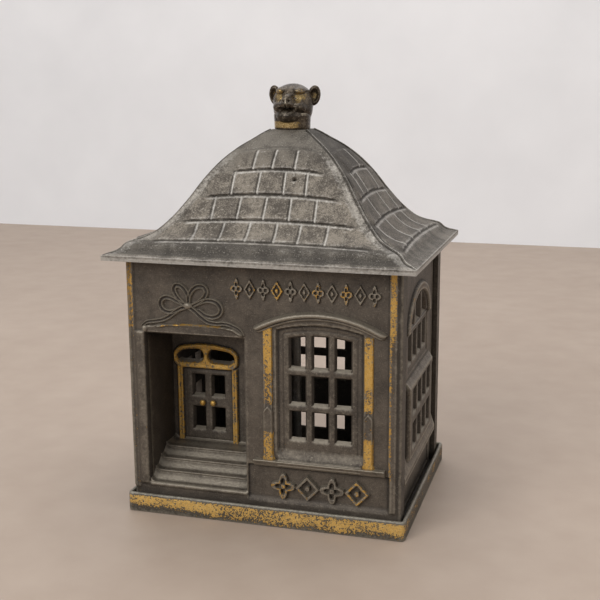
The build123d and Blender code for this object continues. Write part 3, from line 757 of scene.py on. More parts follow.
def light_stops(middle):
    """Sides of a window's columns of lights, and feet and tops of its rows."""
    columns = [middle + c * (LIGHT_W + BAR) + side * LIGHT_W / 2 for c in (-1, 0, 1) for side in (-1, 1)]
    return columns, [z for row in LIGHT_ROWS for z in row]


def front_wall():
    """The front panel: the porch opening, the nine lights and the relief between them."""
    columns, rows = light_stops(WINDOW_X)
    across, up = wall_lines([*PORCH[:2], *columns], [*PORCH[2:], *rows], 0.41)

    def outline(s, z):
        return np.maximum(in_box(s, z, *PORCH), window_openings(s, z, WINDOW_X))

    def draft(s, z):
        """The window's lights taper; the porch opening doesn't."""
        return np.where(s > 0, DRAFT, 0.0)

    casting("front_panel", across, up, front_relief, outline, wrapped, wrapped_back, WALL_IRON, "house",
            ("front_wall",), front_gold_and_painted_light, draft=draft, gain=0.55)


def back_wall():
    """The back panel: its window in the middle, and three low vents."""
    columns, rows = light_stops(0.0)
    across, up = wall_lines(columns, [*rows, VENT_LOW, VENT_HIGH], 0.5)

    def outline(s, z):
        inside = window_openings(s, z, 0.0)
        for c in (-1, 0, 1):
            left = c * (LIGHT_W + BAR) - LIGHT_W / 2
            inside = np.maximum(inside, in_box(s, z, left, left + LIGHT_W, VENT_LOW, VENT_HIGH, 0.35))
        return inside

    def relief(s, z):
        height = window_relief(s, z, 0.0, -BACK_APRON, BACK_APRON)
        return height + STRIP_OUT * strip(np.abs(s), *STRIP_RIGHT) * smooth((z - STRIP_FOOT) / 1.0)

    casting("back_panel", across, up, relief, outline, lambda s, z, h: turned(wrapped(s, z, h)),
            lambda s, z: turned(wrapped_back(s, z)), WALL_IRON, "house", ("back_wall",),
            lambda s, z: {"gold": strip(np.abs(s), 43.3, 45.6) * 0.8}, gain=0.55)


def window_trim(name, node, middle, front):
    """Hood, ledge and pilasters of one window, each a moulding or a small relief on the wall."""
    half = HOOD_HALF + 0.6
    x = np.linspace(-half, half, 150)
    crown = HOOD_CROWN - HOOD_R + np.sqrt(HOOD_R ** 2 - x ** 2)
    path = np.stack([middle + x, crown], 1)
    hood = [(-2.7, -0.4), (-2.7, 0.35), (-2.45, 0.75), (-2.1, 0.85), (-1.85, 0.7), (-1.75, 1.0), (-1.6, 1.55),
            (-1.25, 1.9), (-0.85, 2.0), (-0.45, 1.85), (-0.15, 1.45), (-0.05, 1.1), (0.1, 0.8), (0.25, 0.3),
            (0.3, -0.4)]
    ends = np.sqrt(np.clip(1 - (np.abs(x) / half) ** 40, 0.02, 1))
    rings = moulding_rings(path, hood, front, ends)
    tube(name + "_hood", rings, WALL_IRON, "house", (node,), gain=0.9)
    ledge_x = np.linspace(middle - 22.7, middle + 22.2, 90)
    path = np.stack([ledge_x, np.full_like(ledge_x, LEDGE_TOP)], 1)
    ledge = [(-2.5, -0.9), (-2.45, 0.5), (-2.2, 1.1), (-1.7, 1.45), (-1.0, 1.75), (-0.45, 2.05), (-0.15, 2.2),
             (0.0, 2.1), (0.02, 1.7), (0.05, 0.9), (0.05, -0.9)]
    tube(name + "_ledge", moulding_rings(path, ledge, front), WALL_IRON, "house", (node,))
    for side, left, right, top in PILASTERS:
        pilaster(f"{name}_pilaster_{side}", node, middle + left, middle + right, top, front, side == "left")


def pilaster(name, node, left, right, top, front, much_worn):
    """A flat shaft whose lower part is a pointed picket, with a small spread foot on the ledge."""
    middle, half = (left + right) / 2, (right - left) / 2
    foot = LEDGE_TOP

    def in_picket(x, z, spread):
        """How deep a point lies inside the picket, whose sides stand out from the shaft by spread."""
        off = np.abs(x - middle)
        return np.minimum(half + spread - off, (PICKET_TOP - z) * 0.66 - (off - 0.2) * 0.75)

    def outline(x, z):
        shaft = np.minimum(half - np.abs(x - middle), top - z)
        picket = in_picket(x, z, 0.55 * smooth((foot + 1.6 - z) / 1.6) + 0.12)
        return -np.minimum(np.maximum(shaft, picket), z - foot + 0.6)

    def relief(x, z):
        inside = -outline(x, z)
        picket = in_picket(x, z, 0.12)
        step = smooth(picket / 0.3)
        edge = smooth(inside / 0.55)
        bead = 0.22 * smooth(1 - np.abs(picket - 0.45) / 0.35)
        return -0.5 + edge * (1.12 + 0.38 * step + bead)

    def gold(x, z):
        bare = strip(z, 33.5, 42.6, 2.2)
        patch = 0.5 + 0.5 * np.sin(z * 0.55 + left) * np.sin(z * 0.19 + 1.3)
        keep = 0.82 - 0.50 * bare - 0.12 * patch
        if much_worn:
            keep = keep - 0.08 - 0.22 * smooth((55.5 - z) / 7) * smooth((z - 33) / 3)
        return {"gold": keep}

    across = grid_lines([left - 0.9, left, right, right + 0.9], 0.25)
    casting(name, across, grid_lines([foot - 0.6, top], 0.3), relief, outline, front, sunk(front, 0.8),
            WALL_IRON, "house", (node,), gold, draft=0.0, lip=(0.3, 0.1), gain=0.6)


# ================================================================== bow and ornaments over the porch
BOW_RUNS = (
    ((-26.2, 74.6), (-27.8, 76.0), (-29.6, 78.2), (-30.2, 80.0), (-29.6, 81.2), (-28.4, 81.4), (-26.9, 80.6),
     (-25.6, 78.8), (-25.1, 77.0), (-25.2, 75.0)),
    ((-25.2, 75.0), (-25.1, 77.0), (-24.4, 78.9), (-23.0, 80.6), (-21.2, 81.4), (-19.4, 81.1), (-18.7, 79.8),
     (-19.2, 78.2), (-21.2, 76.2), (-23.9, 74.6)),
    ((-27.0, 75.1), (-29.2, 75.9), (-31.5, 76.9), (-33.5, 77.0), (-34.9, 76.0), (-35.2, 74.4), (-34.2, 72.8),
     (-32.2, 72.1), (-30.0, 72.6), (-27.8, 73.8)),
    ((-23.6, 74.5), (-21.6, 75.6), (-19.4, 76.5), (-17.0, 76.7), (-14.6, 75.8), (-13.6, 74.0), (-14.3, 72.2),
     (-16.4, 71.2), (-18.8, 71.5), (-21.6, 73.2)),
    ((-25.8, 74.2), (-28.2, 73.4), (-30.4, 71.9), (-32.6, 70.3), (-35.0, 69.2), (-38.0, 68.6), (-40.6, 68.0),
     (-42.3, 66.6)),
    ((-25.0, 74.2), (-23.2, 73.0), (-20.8, 71.0), (-18.2, 69.4), (-15.4, 69.0), (-12.6, 69.2), (-9.4, 68.4),
     (-7.2, 67.2), (-6.1, 65.4)),
)
KNOT_X, KNOT_Z = -25.4, 74.6
RIBBON = ((-0.95, -0.3), (-0.95, 0.25), (-0.82, 0.72), (-0.62, 0.86), (-0.42, 0.70), (-0.2, 0.42),
          (0.0, 0.36), (0.2, 0.42), (0.42, 0.70), (0.62, 0.86), (0.82, 0.72), (0.95, 0.25), (0.95, -0.3))


def porch_bow():
    """The knotted ribbon over the porch: each loop and tail is one ribbon profile on a smooth path."""
    for number, run in enumerate(BOW_RUNS):
        path = smooth_path(run, 110)
        share = np.linspace(0, 1, len(path))
        taper = 0.78 + 0.22 * np.sin(math.pi * share) if number < 4 else 0.95 - 0.30 * share ** 2
        rings = moulding_rings(path, np.array(RIBBON) * (1.0, 1.15), wrapped, taper)
        # Painted highlight along each ribbon's two raised edges.
        tube(f"bow_ribbon_{number + 1}", rings, WALL_IRON, "house", ("front_wall",), gain=0.9,
             fields={"wear": 0.40 * np.clip(np.array(RIBBON)[:, 1], 0, 1) ** 2})
    knot = lathe_rings([(0.05, 1.45), (0.6, 1.4), (1.15, 1.15), (1.55, 0.7), (1.7, 0.1), (1.7, -0.3)], 28)
    rings = wrapped(KNOT_X + knot[..., 0], KNOT_Z + 0.72 * knot[..., 1], knot[..., 2])
    tube("bow_knot", rings, WALL_IRON, "house", ("front_wall",))


def porch_lintel():
    """The board over the porch, with a rounded lobe at its left end and a raised upper edge."""
    left, right, low, high = LINTEL

    def outline(x, z):
        top = high - 0.9 * smooth((-35 - x) / 4) - 1.6 * smooth((x + 10) / 4)
        return -in_box(x, z, left, right, low, top, 0.9)

    def relief(x, z):
        inside = -outline(x, z)
        lobe = 0.55 * ridge(np.hypot(x + 41.3, z - 65.9), 1.15)
        edge = 0.55 * smooth(1 - to_path(x, z, LINTEL_LINE) / 0.55)
        return -0.5 + smooth(inside / 0.7) * 1.35 + lobe + edge

    def gold(x, z):
        near = smooth(1 - to_path(x, z, LINTEL_LINE) / 0.6)
        return {"gold": 0.72 * near * strip(x, -36, -13.5, 2.0), "wear": 0.5 * near}

    across, up = grid_lines([left - 0.2, right + 0.1], 0.3), grid_lines([low, high + 0.2], 0.25)
    casting("porch_lintel", across, up, relief, outline, wrapped, sunk(wrapped, 0.8), WALL_IRON, "house",
            ("front_wall",), gold, draft=0.0, lip=(0.3, 0.1), gain=0.6)


def ornament_row(name, first, last, low, high, count, stroke, lift, gold_share):
    """A row of cast ornaments by turns: a four-petalled flower and a lozenge, in outline, each with a boss.
    The flower's outline is the radius 0.72 + 0.28 cos 4a, and the lozenge's is |x| + |z| = 1."""
    pitch = (last - first) / count
    half_w, half_h = pitch * 0.5, (high - low) / 2 - stroke * 0.1
    middle_z = (low + high) / 2

    def drawn(x, z):
        """Distance to the nearest line or boss."""
        k = np.clip(np.floor((x - first) / pitch), 0, count - 1)
        a = (x - first - (k + 0.5) * pitch) / (half_w - stroke / 2)
        b = (z - middle_z) / (half_h - stroke / 2)
        radius = np.hypot(a, b)
        petal = 0.72 + 0.28 * np.cos(4 * np.arctan2(b, a))
        size = np.sqrt(half_w * half_h)
        flower = np.abs(radius - petal) * size * 0.62
        lozenge = np.abs(np.abs(a) + np.abs(b) - 1) * size * 0.66
        boss = radius * size - stroke * 0.35
        return np.minimum(np.where(k % 2 == 0, flower, lozenge), np.maximum(boss, 0))

    def outline(x, z):
        return drawn(x, z) - stroke / 2

    def relief(x, z):
        return -0.45 + (lift + 0.45) * smooth(1.15 * ridge(drawn(x, z), stroke / 2))

    def gold(x, z):
        k = np.floor((x - first) / pitch)
        share = gold_share * (0.55 + 0.45 * np.sin(k * 2.4 + 0.7)) * ridge(drawn(x, z), stroke / 2)
        return {"gold": share}

    across, up = grid_lines([first, last], 0.24), grid_lines([low - 0.4, high + 0.4], 0.24)
    casting(name, across, up, relief, outline, wrapped, sunk(wrapped, 0.9), WALL_IRON, "house",
            ("front_wall",), gold, draft=0.0, lip=(0.2, 0.0), gain=0.4)


# ================================================================== porch and door
def porch_right(y):
    """The right reveal leans in towards the door."""
    return PORCH[1] + (PORCH_BACK_RIGHT - PORCH[1]) * np.clip((y - FRONT) / PORCH_DEPTH, 0, 1.1)


def porch_lining():
    """The reveals and the ceiling: an upside-down U whose right leg leans in with the depth."""
    y = grid_lines([FRONT + WALL_T - 0.3, DOOR_Y + PORCH_T], 1.0)
    low, high = PORCH[2] - PORCH_T, PORCH[3]
    leg_count = 26
    legs = np.linspace(low, high, leg_count)
    share = np.linspace(0, 1, 30)[1:-1]

    def skin(grow):
        """The U at each depth, so far outside the porch's own faces."""
        right = porch_right(y) + grow
        left = np.full_like(y, PORCH[0] - grow)
        top = high + grow
        up_z = np.interp(legs, [low, high], [low, top])
        xs = np.concatenate([np.repeat(left[:, None], leg_count, 1),
                             left[:, None] + np.outer(right - left, share),
                             np.repeat(right[:, None], leg_count, 1)], 1)
        zs = np.concatenate([up_z, np.full(len(share), top), up_z[::-1]])
        return np.stack([xs, np.repeat(y[:, None], xs.shape[1], 1), np.broadcast_to(zs, xs.shape)], -1)

    rings = np.concatenate([skin(0.0), skin(PORCH_T)[::-1]], 0).swapaxes(0, 1)
    # Painted shade over the whole lining, deeper towards the door.
    tube("porch_lining", rings, WALL_IRON, "house", ("front_wall",), gain=0.3,
         fields={"dirt": 0.15 + 0.35 * smooth((rings[..., 1] - FRONT) / 20)})


def porch_steps():
    """Stair profile, each nosing a thin roll with a groove behind it, carried across the porch and turned up
    where it meets the reveals."""
    y = FRONT + 0.25
    run = [(y, THRESHOLD - 0.55), (y + 0.12, THRESHOLD - 0.15), (y + 0.5, THRESHOLD)]
    for step in range(RISER_COUNT):
        z = THRESHOLD + step * RISER
        face = FRONT + (step + 1) * TREAD
        run += [(face - 2.7, z + 0.02), (face - 2.2, z + 0.2), (face - 1.6, z + 0.75),
                (face - 0.95, z + 1.35), (face - 0.35, z + 1.80), (face - 0.05, z + 2.10),
                (face - 0.22, z + 2.45), (face - 0.2, z + 2.78), (face + 0.05, z + 2.92),
                (face + 0.38, z + 2.84), (face + 0.62, z + 2.62), (face + 0.95, z + 2.66)]
    run += [(DOOR_Y - 2.4, LANDING), (DOOR_Y - 1.0, LANDING + 0.1), (DOOR_Y - 0.3, LANDING + 0.45),
            (DOOR_Y + 0.2, LANDING + 0.9)]
    top = np.array(run)
    fine = np.linspace(0, len(top) - 1, 4 * (len(top) - 1) + 1)
    top = curve_through(np.arange(len(top)), top, fine)
    under = top[::-1] + np.array([0.9, -PORCH_T])
    ring = np.concatenate([top, under])
    share = np.concatenate([np.linspace(0, 0.12, 14), np.linspace(0.12, 1, 36)[1:]])
    yy = np.broadcast_to(ring[:, 0], (len(share), len(ring)))
    left = PORCH[0] - 0.4
    right = porch_right(yy) + 0.35
    xx = left + (right - left) * share[:, None]
    from_left, from_right = xx - PORCH[0], right - 0.35 - xx
    turn_up = 1.3 * np.clip(1 - from_left / 1.9, 0, 1) ** 2 + 0.5 * np.clip(1 - from_right / 0.9, 0, 1) ** 2
    is_top = np.arange(len(ring)) < len(top)
    zz = ring[:, 1] + np.where(is_top, turn_up, 0)
    rings = np.stack([xx, yy, zz], -1)
    # Step tops lightened: dust on the treads, and painted highlights along the nosings.
    tread = np.interp((ring[:, 0] - FRONT) % TREAD, [0, 0.5, 1.2, 2.0, 2.6, 3.7, 4.3, 4.6, 4.7],
                      [1, 0.5, 0.05, 0.1, 0.75, 0.9, 0.35, 0.2, 0.9])
    tube("porch_steps", rings, WALL_IRON, "house", ("front_wall",), gain=0.9, crease=60,
         fields={"wear": np.broadcast_to((0.40 + 0.60 * tread) * is_top, yy.shape)})


def arched_height(x, z):
    """Height on the transom, with its top bent down towards its ends by the square of the distance."""
    left, right, low, high = TRANSOM
    off = (x - (left + right) / 2) / ((right - left) / 2)
    return z + TRANSOM_BEND * np.clip(off, -1.3, 1.3) ** 2 * smooth((z - low) / (high - low))


def door_openings(x, z):
    """How deep a point lies in a transom oval or a door light."""
    inside = np.full(np.shape(x), -1e3)
    for middle in OVALS:
        inside = np.maximum(inside, in_bar(x, arched_height(x, z), middle, OVAL_W, OVAL_H))
    for left, right in DOOR_LIGHTS:
        for low, high in DOOR_LIGHT_ROWS:
            inside = np.maximum(inside, in_box(x, z, left, right, low, high, 0.3))
    return inside


def door_relief(x, z):
    """Transom frame, pilasters and the leaves' edges on the door wall."""
    frame_depth = in_box(x, arched_height(x, z), *TRANSOM, TRANSOM_CORNER)
    height = 1.15 * smooth(frame_depth / 0.6) * (1 - 0.25 * smooth((frame_depth - 0.9) / 0.8))
    for left, right in DOOR_POSTS:
        post = in_box(x, z, left, right, LANDING - 2, TRANSOM[2] + 1)
        height = np.maximum(height, 1.0 * smooth(post / 0.45) - 0.25 * ridge(x - (left + right) / 2, 0.35))
    leaf = in_box(x, z, *LEAVES)
    height = np.maximum(height, 0.16 * smooth(leaf / 0.4))
    return height - 0.10 * smooth(1 - np.abs(x - LEAF_JOINT) / 0.35) * (leaf > 0)


def door_gold(x, z):
    """Gold on the transom frame and the pilasters."""
    frame_depth = in_box(x, arched_height(x, z), *TRANSOM, TRANSOM_CORNER)
    posts = np.maximum(*(in_box(x, z, *sides, LANDING - 2, TRANSOM[2] + 0.8) for sides in DOOR_POSTS))
    on = smooth(np.maximum(frame_depth, posts) / 0.4 + 0.3)
    patch = 0.5 + 0.5 * np.sin(x * 0.9 + z * 0.4) * np.sin(z * 0.7)
    return {"gold": on * (0.82 - 0.10 * patch)}


def door():
    """The door wall at the back of the porch."""
    left, right = PORCH[0] - 0.3, PORCH_BACK_RIGHT + 1.6
    xs = grid_lines([left, right, *[v for light in DOOR_LIGHTS for v in light]], 0.3)
    zs = grid_lines([LANDING - 2.0, PORCH[3] + 1.0, *[v for row in DOOR_LIGHT_ROWS for v in row]], 0.3)
    casting("door", xs, zs, door_relief, door_openings, lambda x, z, h: np.stack([x, DOOR_Y - h, z], -1),
            lambda x, z: np.stack([x, 0 * x + DOOR_Y + PORCH_T, z], -1), WALL_IRON, "house",
            ("front_wall",), door_gold, gain=0.5)
    knob = lathe_rings([(0.05, 1.75), (0.5, 1.7), (0.9, 1.45), (1.08, 1.1), (1.0, 0.75), (0.65, 0.5),
                        (0.6, 0.0)], 24)
    for side, x, z in KNOBS:
        rings = np.stack([x + knob[..., 0], DOOR_Y - knob[..., 2], z + knob[..., 1]], -1)
        tube(f"door_knob_{side}", rings, WALL_IRON, "house", ("front_wall",),
             fields={"gold": np.float64(0.97)})


# ================================================================== side walls
def side_openings(y, z):
    """How deep a point lies in a light of either sash or of the fan over them."""
    inside = np.full(np.shape(y), -1e3)
    for column in (-1.5, -0.5, 0.5, 1.5):
        left = column * (SIDE_LIGHT_W + SIDE_BAR) - SIDE_LIGHT_W / 2
        for low, high in SIDE_ROWS:
            inside = np.maximum(inside, in_box(y, z, left, left + SIDE_LIGHT_W, low, high, 0.35))
    fan = in_half_oval(y, z, FAN_HALF, FAN_Z, FAN_RISE)
    bars = np.abs(np.abs(y) - FAN_PITCH / 2) - SIDE_BAR / 2
    return np.maximum(inside, np.minimum(fan, bars))


def fan_arch(y, z):
    """1 on the moulding over the fan, between two half ovals."""
    outer = in_half_oval(y, z, FAN_HALF + ARCH_W, FAN_Z - 1.0, FAN_RISE + ARCH_W)
    inner = in_half_oval(y, z, FAN_HALF + ARCH_IN, FAN_Z - 1.0, FAN_RISE + ARCH_IN)
    return smooth(outer / 0.5) * smooth(1 - inner / 0.5)


def side_relief(y, z):
    """The arch over the fan, the proud lower sash, the sloped meeting rail and sill, and the thin tongues
    that pass behind the flanges."""
    height = np.maximum(fan_arch(y, z), SIDE_OUT * smooth(in_box(y, z, *SASH_BOX) / 0.5))
    rail = smooth(in_box(y, z, *RAIL_BOX) / 0.4)
    height = np.maximum(height, rail * SIDE_OUT * np.clip((RAIL_BOX[3] - z) / 2.6, 0, 1))
    sill = smooth((z - SIDE_SILL[0]) / 0.6) * np.clip((SIDE_SILL[1] - z) / 5.0, 0, 1)
    height = np.maximum(height, SIDE_OUT * sill * (np.abs(y) < SIDE_HALF))
    upper = in_box(y, z, *UPPER_BOX, FAN_Z + 0.5)
    height = height - 0.35 * smooth(upper / 0.5) * smooth((z - UPPER_BOX[2] - 1.0) / 0.8)
    height = height - 0.5 * smooth(in_box(y, z, *LOW_BOX, 0.5) / 0.6)
    tongue = smooth((np.abs(y) - SIDE_HALF) / 0.12 + 0.5)
    return height * (1 - tongue) - TONGUE_DROP * tongue


def side_gold_and_painted_light(y, z):
    """Traces of gold on the arch, a painted highlight on the sloped meeting rail and sill, and painted shade
    in the grooves over the thin tongues.
    """
    # gap: painted shade on the tongues that pass behind the flanges.
    gap = smooth((np.abs(y) - SIDE_HALF) / 0.2)
    # ledges: painted highlight on the meeting rail and the sill, which face up.
    ledges = strip(z, 46.0, 49.0, 0.8) * strip(y, -22, 22) + strip(z, 17.0, 22.4, 1.2) * strip(y, -29, 29)
    return {"gold": 0.34 * fan_arch(y, z), "dirt": 0.9 * gap, "wear": 0.40 * ledges}


def side_walls():
    """Both side panels, each the other's mirror image."""
    stops = [c * (SIDE_LIGHT_W + SIDE_BAR) + side * SIDE_LIGHT_W / 2 for c in (-1.5, -0.5, 0.5, 1.5)
             for side in (-1, 1)]
    ys = grid_lines([-TONGUE_HALF, -SIDE_HALF - 0.06, -SIDE_HALF + 0.06, SIDE_HALF - 0.06, SIDE_HALF + 0.06,
                     TONGUE_HALF, *stops], 0.42)
    zs = grid_lines([FLOOR, EAVE, FAN_Z, *[v for row in SIDE_ROWS for v in row]], 0.42)
    for name, node, sign in (("right_panel", "right_wall", 1), ("left_panel", "left_wall", -1)):
        def front(y, z, h, sign=sign):
            return np.stack([sign * (SIDE_FACE + h), sign * y, z], -1)

        casting(name, ys, zs, side_relief, side_openings, front, sunk(front, WALL_T), WALL_IRON, "house",
                (node,), side_gold_and_painted_light, gain=0.6)


# ================================================================== roof
def roof_tables():
    """The roof's upright outline against the distance down it: half width, half depth and height of each
    level, for the outside and the inside. The outline runs down the bell and the shoulder, over the lip, in
    under the eave and down the rib."""
    share = np.linspace(0, 1, 900)
    rise = curve_through(BELL_SHARE, BELL_RISE, share)
    top = EAVE + LIP_T
    x = SEAT_X + (EAVE_X - SEAT_X) * share
    y = SEAT_Y + (EAVE_Y - SEAT_Y) * share
    z = top + (SEAT - top) * rise
    edge = [(EAVE_X, EAVE_Y, EAVE), (RIB_X, RIB_Y, EAVE), (RIB_X, RIB_Y, EAVE - RIB_H)]
    for corner in edge:
        t = np.linspace(0, 1, 60)[1:]
        x, y, z = (np.append(v, v[-1] + (c - v[-1]) * t) for v, c in zip((x, y, z), corner))
    down = np.append(0, np.cumsum(np.hypot(np.diff(y), np.diff(z))))
    side_down = np.append(0, np.cumsum(np.hypot(np.diff(x), np.diff(z))))

    def facing(run):
        """Outward and upward parts of the outline's normal."""
        along, fall = np.gradient(run), np.gradient(z)
        length = np.hypot(along, fall) + 1e-9
        kernel = np.ones(9) / 9
        parts = [np.convolve(np.pad(v / length, 4, mode="edge"), kernel, "valid") for v in (-fall, along)]
        size = np.hypot(*parts) + 1e-9
        return parts[0] / size, parts[1] / size

    nx, nzx = facing(x)
    ny, nzy = facing(y)
    in_x = np.minimum(x - nx * ROOF_T, RIB_X - RIB_T)
    in_y = np.minimum(y - ny * ROOF_T, RIB_Y - RIB_T)
    in_z = z - ROOF_T * (nzx + nzy) / 2
    turn = int(np.argmax(y - ny * ROOF_T > RIB_Y - RIB_T))
    in_x[turn:] = np.interp(down[turn:], [down[turn], down[turn] + 6, down[-1]],
                            [in_x[turn], RIB_X - RIB_T, RIB_X - RIB_T])
    in_y[turn:] = RIB_Y - RIB_T
    in_z[turn:] = np.interp(down[turn:], [down[turn], down[-1]], [in_z[turn], EAVE - RIB_H])
    return {"down": down, "side_down": side_down, "x": x, "y": y, "z": z, "nx": nx, "nzx": nzx, "ny": ny,
            "nzy": nzy, "in_x": in_x, "in_y": in_y, "in_z": in_z, "eave": down[899]}


ROOF = roof_tables()


def at_level(key, v):
    """A roof table's value at a distance down the front slope."""
    return np.interp(v, ROOF["down"], ROOF[key])


def plate_rows(across, down, rows, wide=1.0):
    """Rows of raised plates: each row rises gently from the butt of the row above and is cut off at its own
    butt, its ends hang a little lower than its middle and fade out, and a shallow groove parts plate from
    plate. Returns the height, the plates' cover, painted shadow lines under the butts and beside the joints,
    and painted highlight strips below the butts and in the joints."""
    height, cover, dark, lit = (np.zeros(np.shape(across)) for _ in range(4))
    for top, butt, left, right, joints in rows:
        middle, half = (left + right) / 2, (right - left) / 2
        level = down - 1.6 * np.clip((across - middle) / half, -1.3, 1.3) ** 2 + 0.4
        inside = smooth((across - left) / 3.5) * smooth((right - across) / 3.5)
        row = smooth((level - top + 0.9) / 1.9) * smooth((butt - level) / 0.32)
        here = smooth((level - top + 0.4) / 0.6) * smooth((butt - level + 0.2) / 0.4) * inside
        groove = np.zeros(np.shape(across))
        for joint in joints:
            off = across - joint - 0.03 * (level - top) * np.sign(joint)
            groove = np.maximum(groove, smooth(1.55 - np.abs(off) / (0.42 * wide)))
            # Painted shadow line beside each joint, and a painted highlight strip in it.
            dark = np.maximum(dark, 0.75 * here * smooth(1 - np.abs(off + 0.62 * wide) / (0.36 * wide)))
            lit = np.maximum(lit, 0.80 * here * smooth(1 - np.abs(off - 0.10) / (0.66 * wide)))
        plate = (0.42 + 0.24 * np.clip((level - top) / (butt - top), 0, 1)) * row * inside
        height = np.maximum(height, plate * (1 - 0.42 * groove))
        cover = np.maximum(cover, row * inside * (1 - groove))
        # Painted shadow line under each butt, and a painted highlight strip just below it.
        dark = np.maximum(dark, 0.8 * inside * smooth(1 - np.abs(level - butt - 0.10) / 0.36))
        lit = np.maximum(lit, 0.62 * inside * smooth(1 - np.abs(level - butt - 1.05) / 0.75))
    return height, cover, dark, lit


def hip_shape(from_hip, side):
    """The slope near a hip: both slopes fall away to a rounded edge, and a side slope carries a thin roll
    with a groove beyond it."""
    height = -0.30 * np.clip(1 - from_hip / 0.9, 0, 1) ** 2
    if side:
        height = height - 0.42 * ridge(from_hip - 0.6, 0.5) + 0.30 * ridge(from_hip - 1.55, 0.5)
        height = height - 0.40 * ridge(from_hip - 2.6, 0.6)
    return height


def roof_slope(name, side, sign, rows, finish_marks, slot_hole=False):
    """One slope of the roof: a fan of lines from the seat to the eave, with its plates, its hips and, on the
    back, the coin slot."""
    deep, end = ROOF["eave"], ROOF["down"][-1]
    wide = 1.0 + 0.9 * side            # the side slopes' grooves are wider
    v = np.concatenate([grid_lines([0, deep], 0.40), deep + np.array([0.35, 0.9, 1.4, LIP_T]),
                        deep + LIP_T + np.array([0.4, 3.4, 6.8, 10.3]), [end - 1.3, end]])
    v = np.unique(np.round(np.minimum(v, end), 4))
    widest = EAVE_Y if side else EAVE_X
    count = int(widest / 0.41)
    inner = np.linspace(0, 1 - 3.2 / widest, count)
    u = np.concatenate([inner, 1 - np.linspace(3.2, 0, 15)[1:] / widest])
    u = np.unique(np.concatenate([-u, u]))
    own, other = ("x", "y") if side else ("y", "x")

    def measures(a, b):
        """Distance across the slope, down it, and in from the nearer hip."""
        half = at_level(other, b)
        across = a * half
        down = at_level("side_down", b) if side else b
        return across, down, (1 - np.abs(a)) * half

    def relief(a, b):
        across, down, from_hip = measures(a, b)
        height = plate_rows(across, down, rows, wide)[0] * smooth((from_hip - 2.2) / 1.2)
        height = height + finish_marks(across, down)
        fade = smooth((deep - b) / 3.0)
        return height + hip_shape(from_hip, side) * (0.35 + 0.65 * fade) * (b < deep + 0.2)

    def outline(a, b):
        if not slot_hole:
            return np.full(np.shape(a), -1e3)
        across, down, _ = measures(a, b)
        return in_bar(across, down, (0.0, COIN_SLOT[2]), COIN_SLOT[0], COIN_SLOT[1])

    def placed(along, out, z):
        parts = (sign * out, sign * along, z) if side else (-sign * along, sign * out, z)
        return np.stack(parts, -1)

    def front(a, b, height):
        half_other, reach, z = at_level(other, b), at_level(own, b), at_level("z", b)
        n_out, n_up = at_level("n" + own, b), at_level("nz" + own, b)
        m_out, m_up = at_level("n" + other, b), at_level("nz" + other, b)
        share = 0.5 * smooth(1 - (1 - np.abs(a)) * half_other / 1.6)
        out = (1 - share) * n_out
        along = share * m_out * np.sign(a)
        up = (1 - share) * n_up + share * m_up
        size = np.sqrt(out ** 2 + along ** 2 + up ** 2)
        return placed(a * half_other + height * along / size, reach + height * out / size,
                      z + height * up / size)

    def back(a, b):
        return placed(a * at_level("in_" + other, b), at_level("in_" + own, b), at_level("in_z", b))

    def marks(a, b):
        across, down, from_hip = measures(a, b)
        # dark: painted shadow lines; lit: painted highlight strips.
        _, cover, dark, lit = plate_rows(across, down, rows, wide)
        clear = smooth((from_hip - 2.2) / 1.2)
        lip = smooth((b - deep - 0.6) / 0.5) * smooth((deep + LIP_T - b) / 0.2)
        # under: the eave's underside, which gets painted shade and no wear.
        under = smooth((b - deep - LIP_T) / 0.5)
        if side:
            hip = 0.65 * smooth(1 - np.abs(from_hip - 1.55) / 0.5)
            # groove: painted shade in the grooves beside the hip roll.
            groove = 0.9 * smooth(1 - np.abs(from_hip - 0.6) / 0.6)
            groove = groove + 0.8 * smooth(1 - np.abs(from_hip - 2.7) / 0.9)
            roll = 0
        else:
            hip = 0.40 * smooth((4.8 - from_hip) / 2.5) * smooth((from_hip - 0.2) / 0.5) * smooth((b - 9) / 6)
            groove = 0
            # roll: painted shade on the steep shoulder above the eave.
            roll = 0.62 * strip(b, 47.4, deep - 1.3, 1.2)
        open_slope = 1 - smooth((b - deep + 1.0) / 0.5)
        # shade: painted shade in the side grooves, on the shoulder, darker towards the top, and over the
        # whole side slopes.
        shade = groove * open_slope + roll + 0.48 * smooth((24 - b) / 14) + 0.30 * side
        return {"plate": cover * clear, "wear": 0.8 * lip + hip * open_slope + 1.25 * lit * clear - under,
                "dirt": 0.8 * under + 1.35 * dark * clear + shade}

    casting(name, u, v, relief, outline, front, back, ROOF_IRON, "roof", ("roof",), marks,
            draft=0.0, gain=0.35, crease=60)


def front_marks(across, down):
    """A small blowhole in the second row, with the cracks that run from it, and a faint arched line on
    top."""
    hole = np.hypot(across - BLOWHOLE[0], (down - BLOWHOLE[1]) * 1.1)
    height = -1.5 * np.exp(-(hole / 0.62) ** 2)
    for crack in CRACKS:
        height = height - 0.28 * smooth(1 - to_path(across, down, crack) / 0.32)
    arch = np.abs(down - 8.6 - 0.012 * (across - 1) ** 2)
    return height - 0.16 * smooth(1 - arch / 0.8) * strip(across, -9, 11, 4.0)


def no_marks(across, down):
    """A slope without flaws."""
    return np.zeros(np.shape(across))


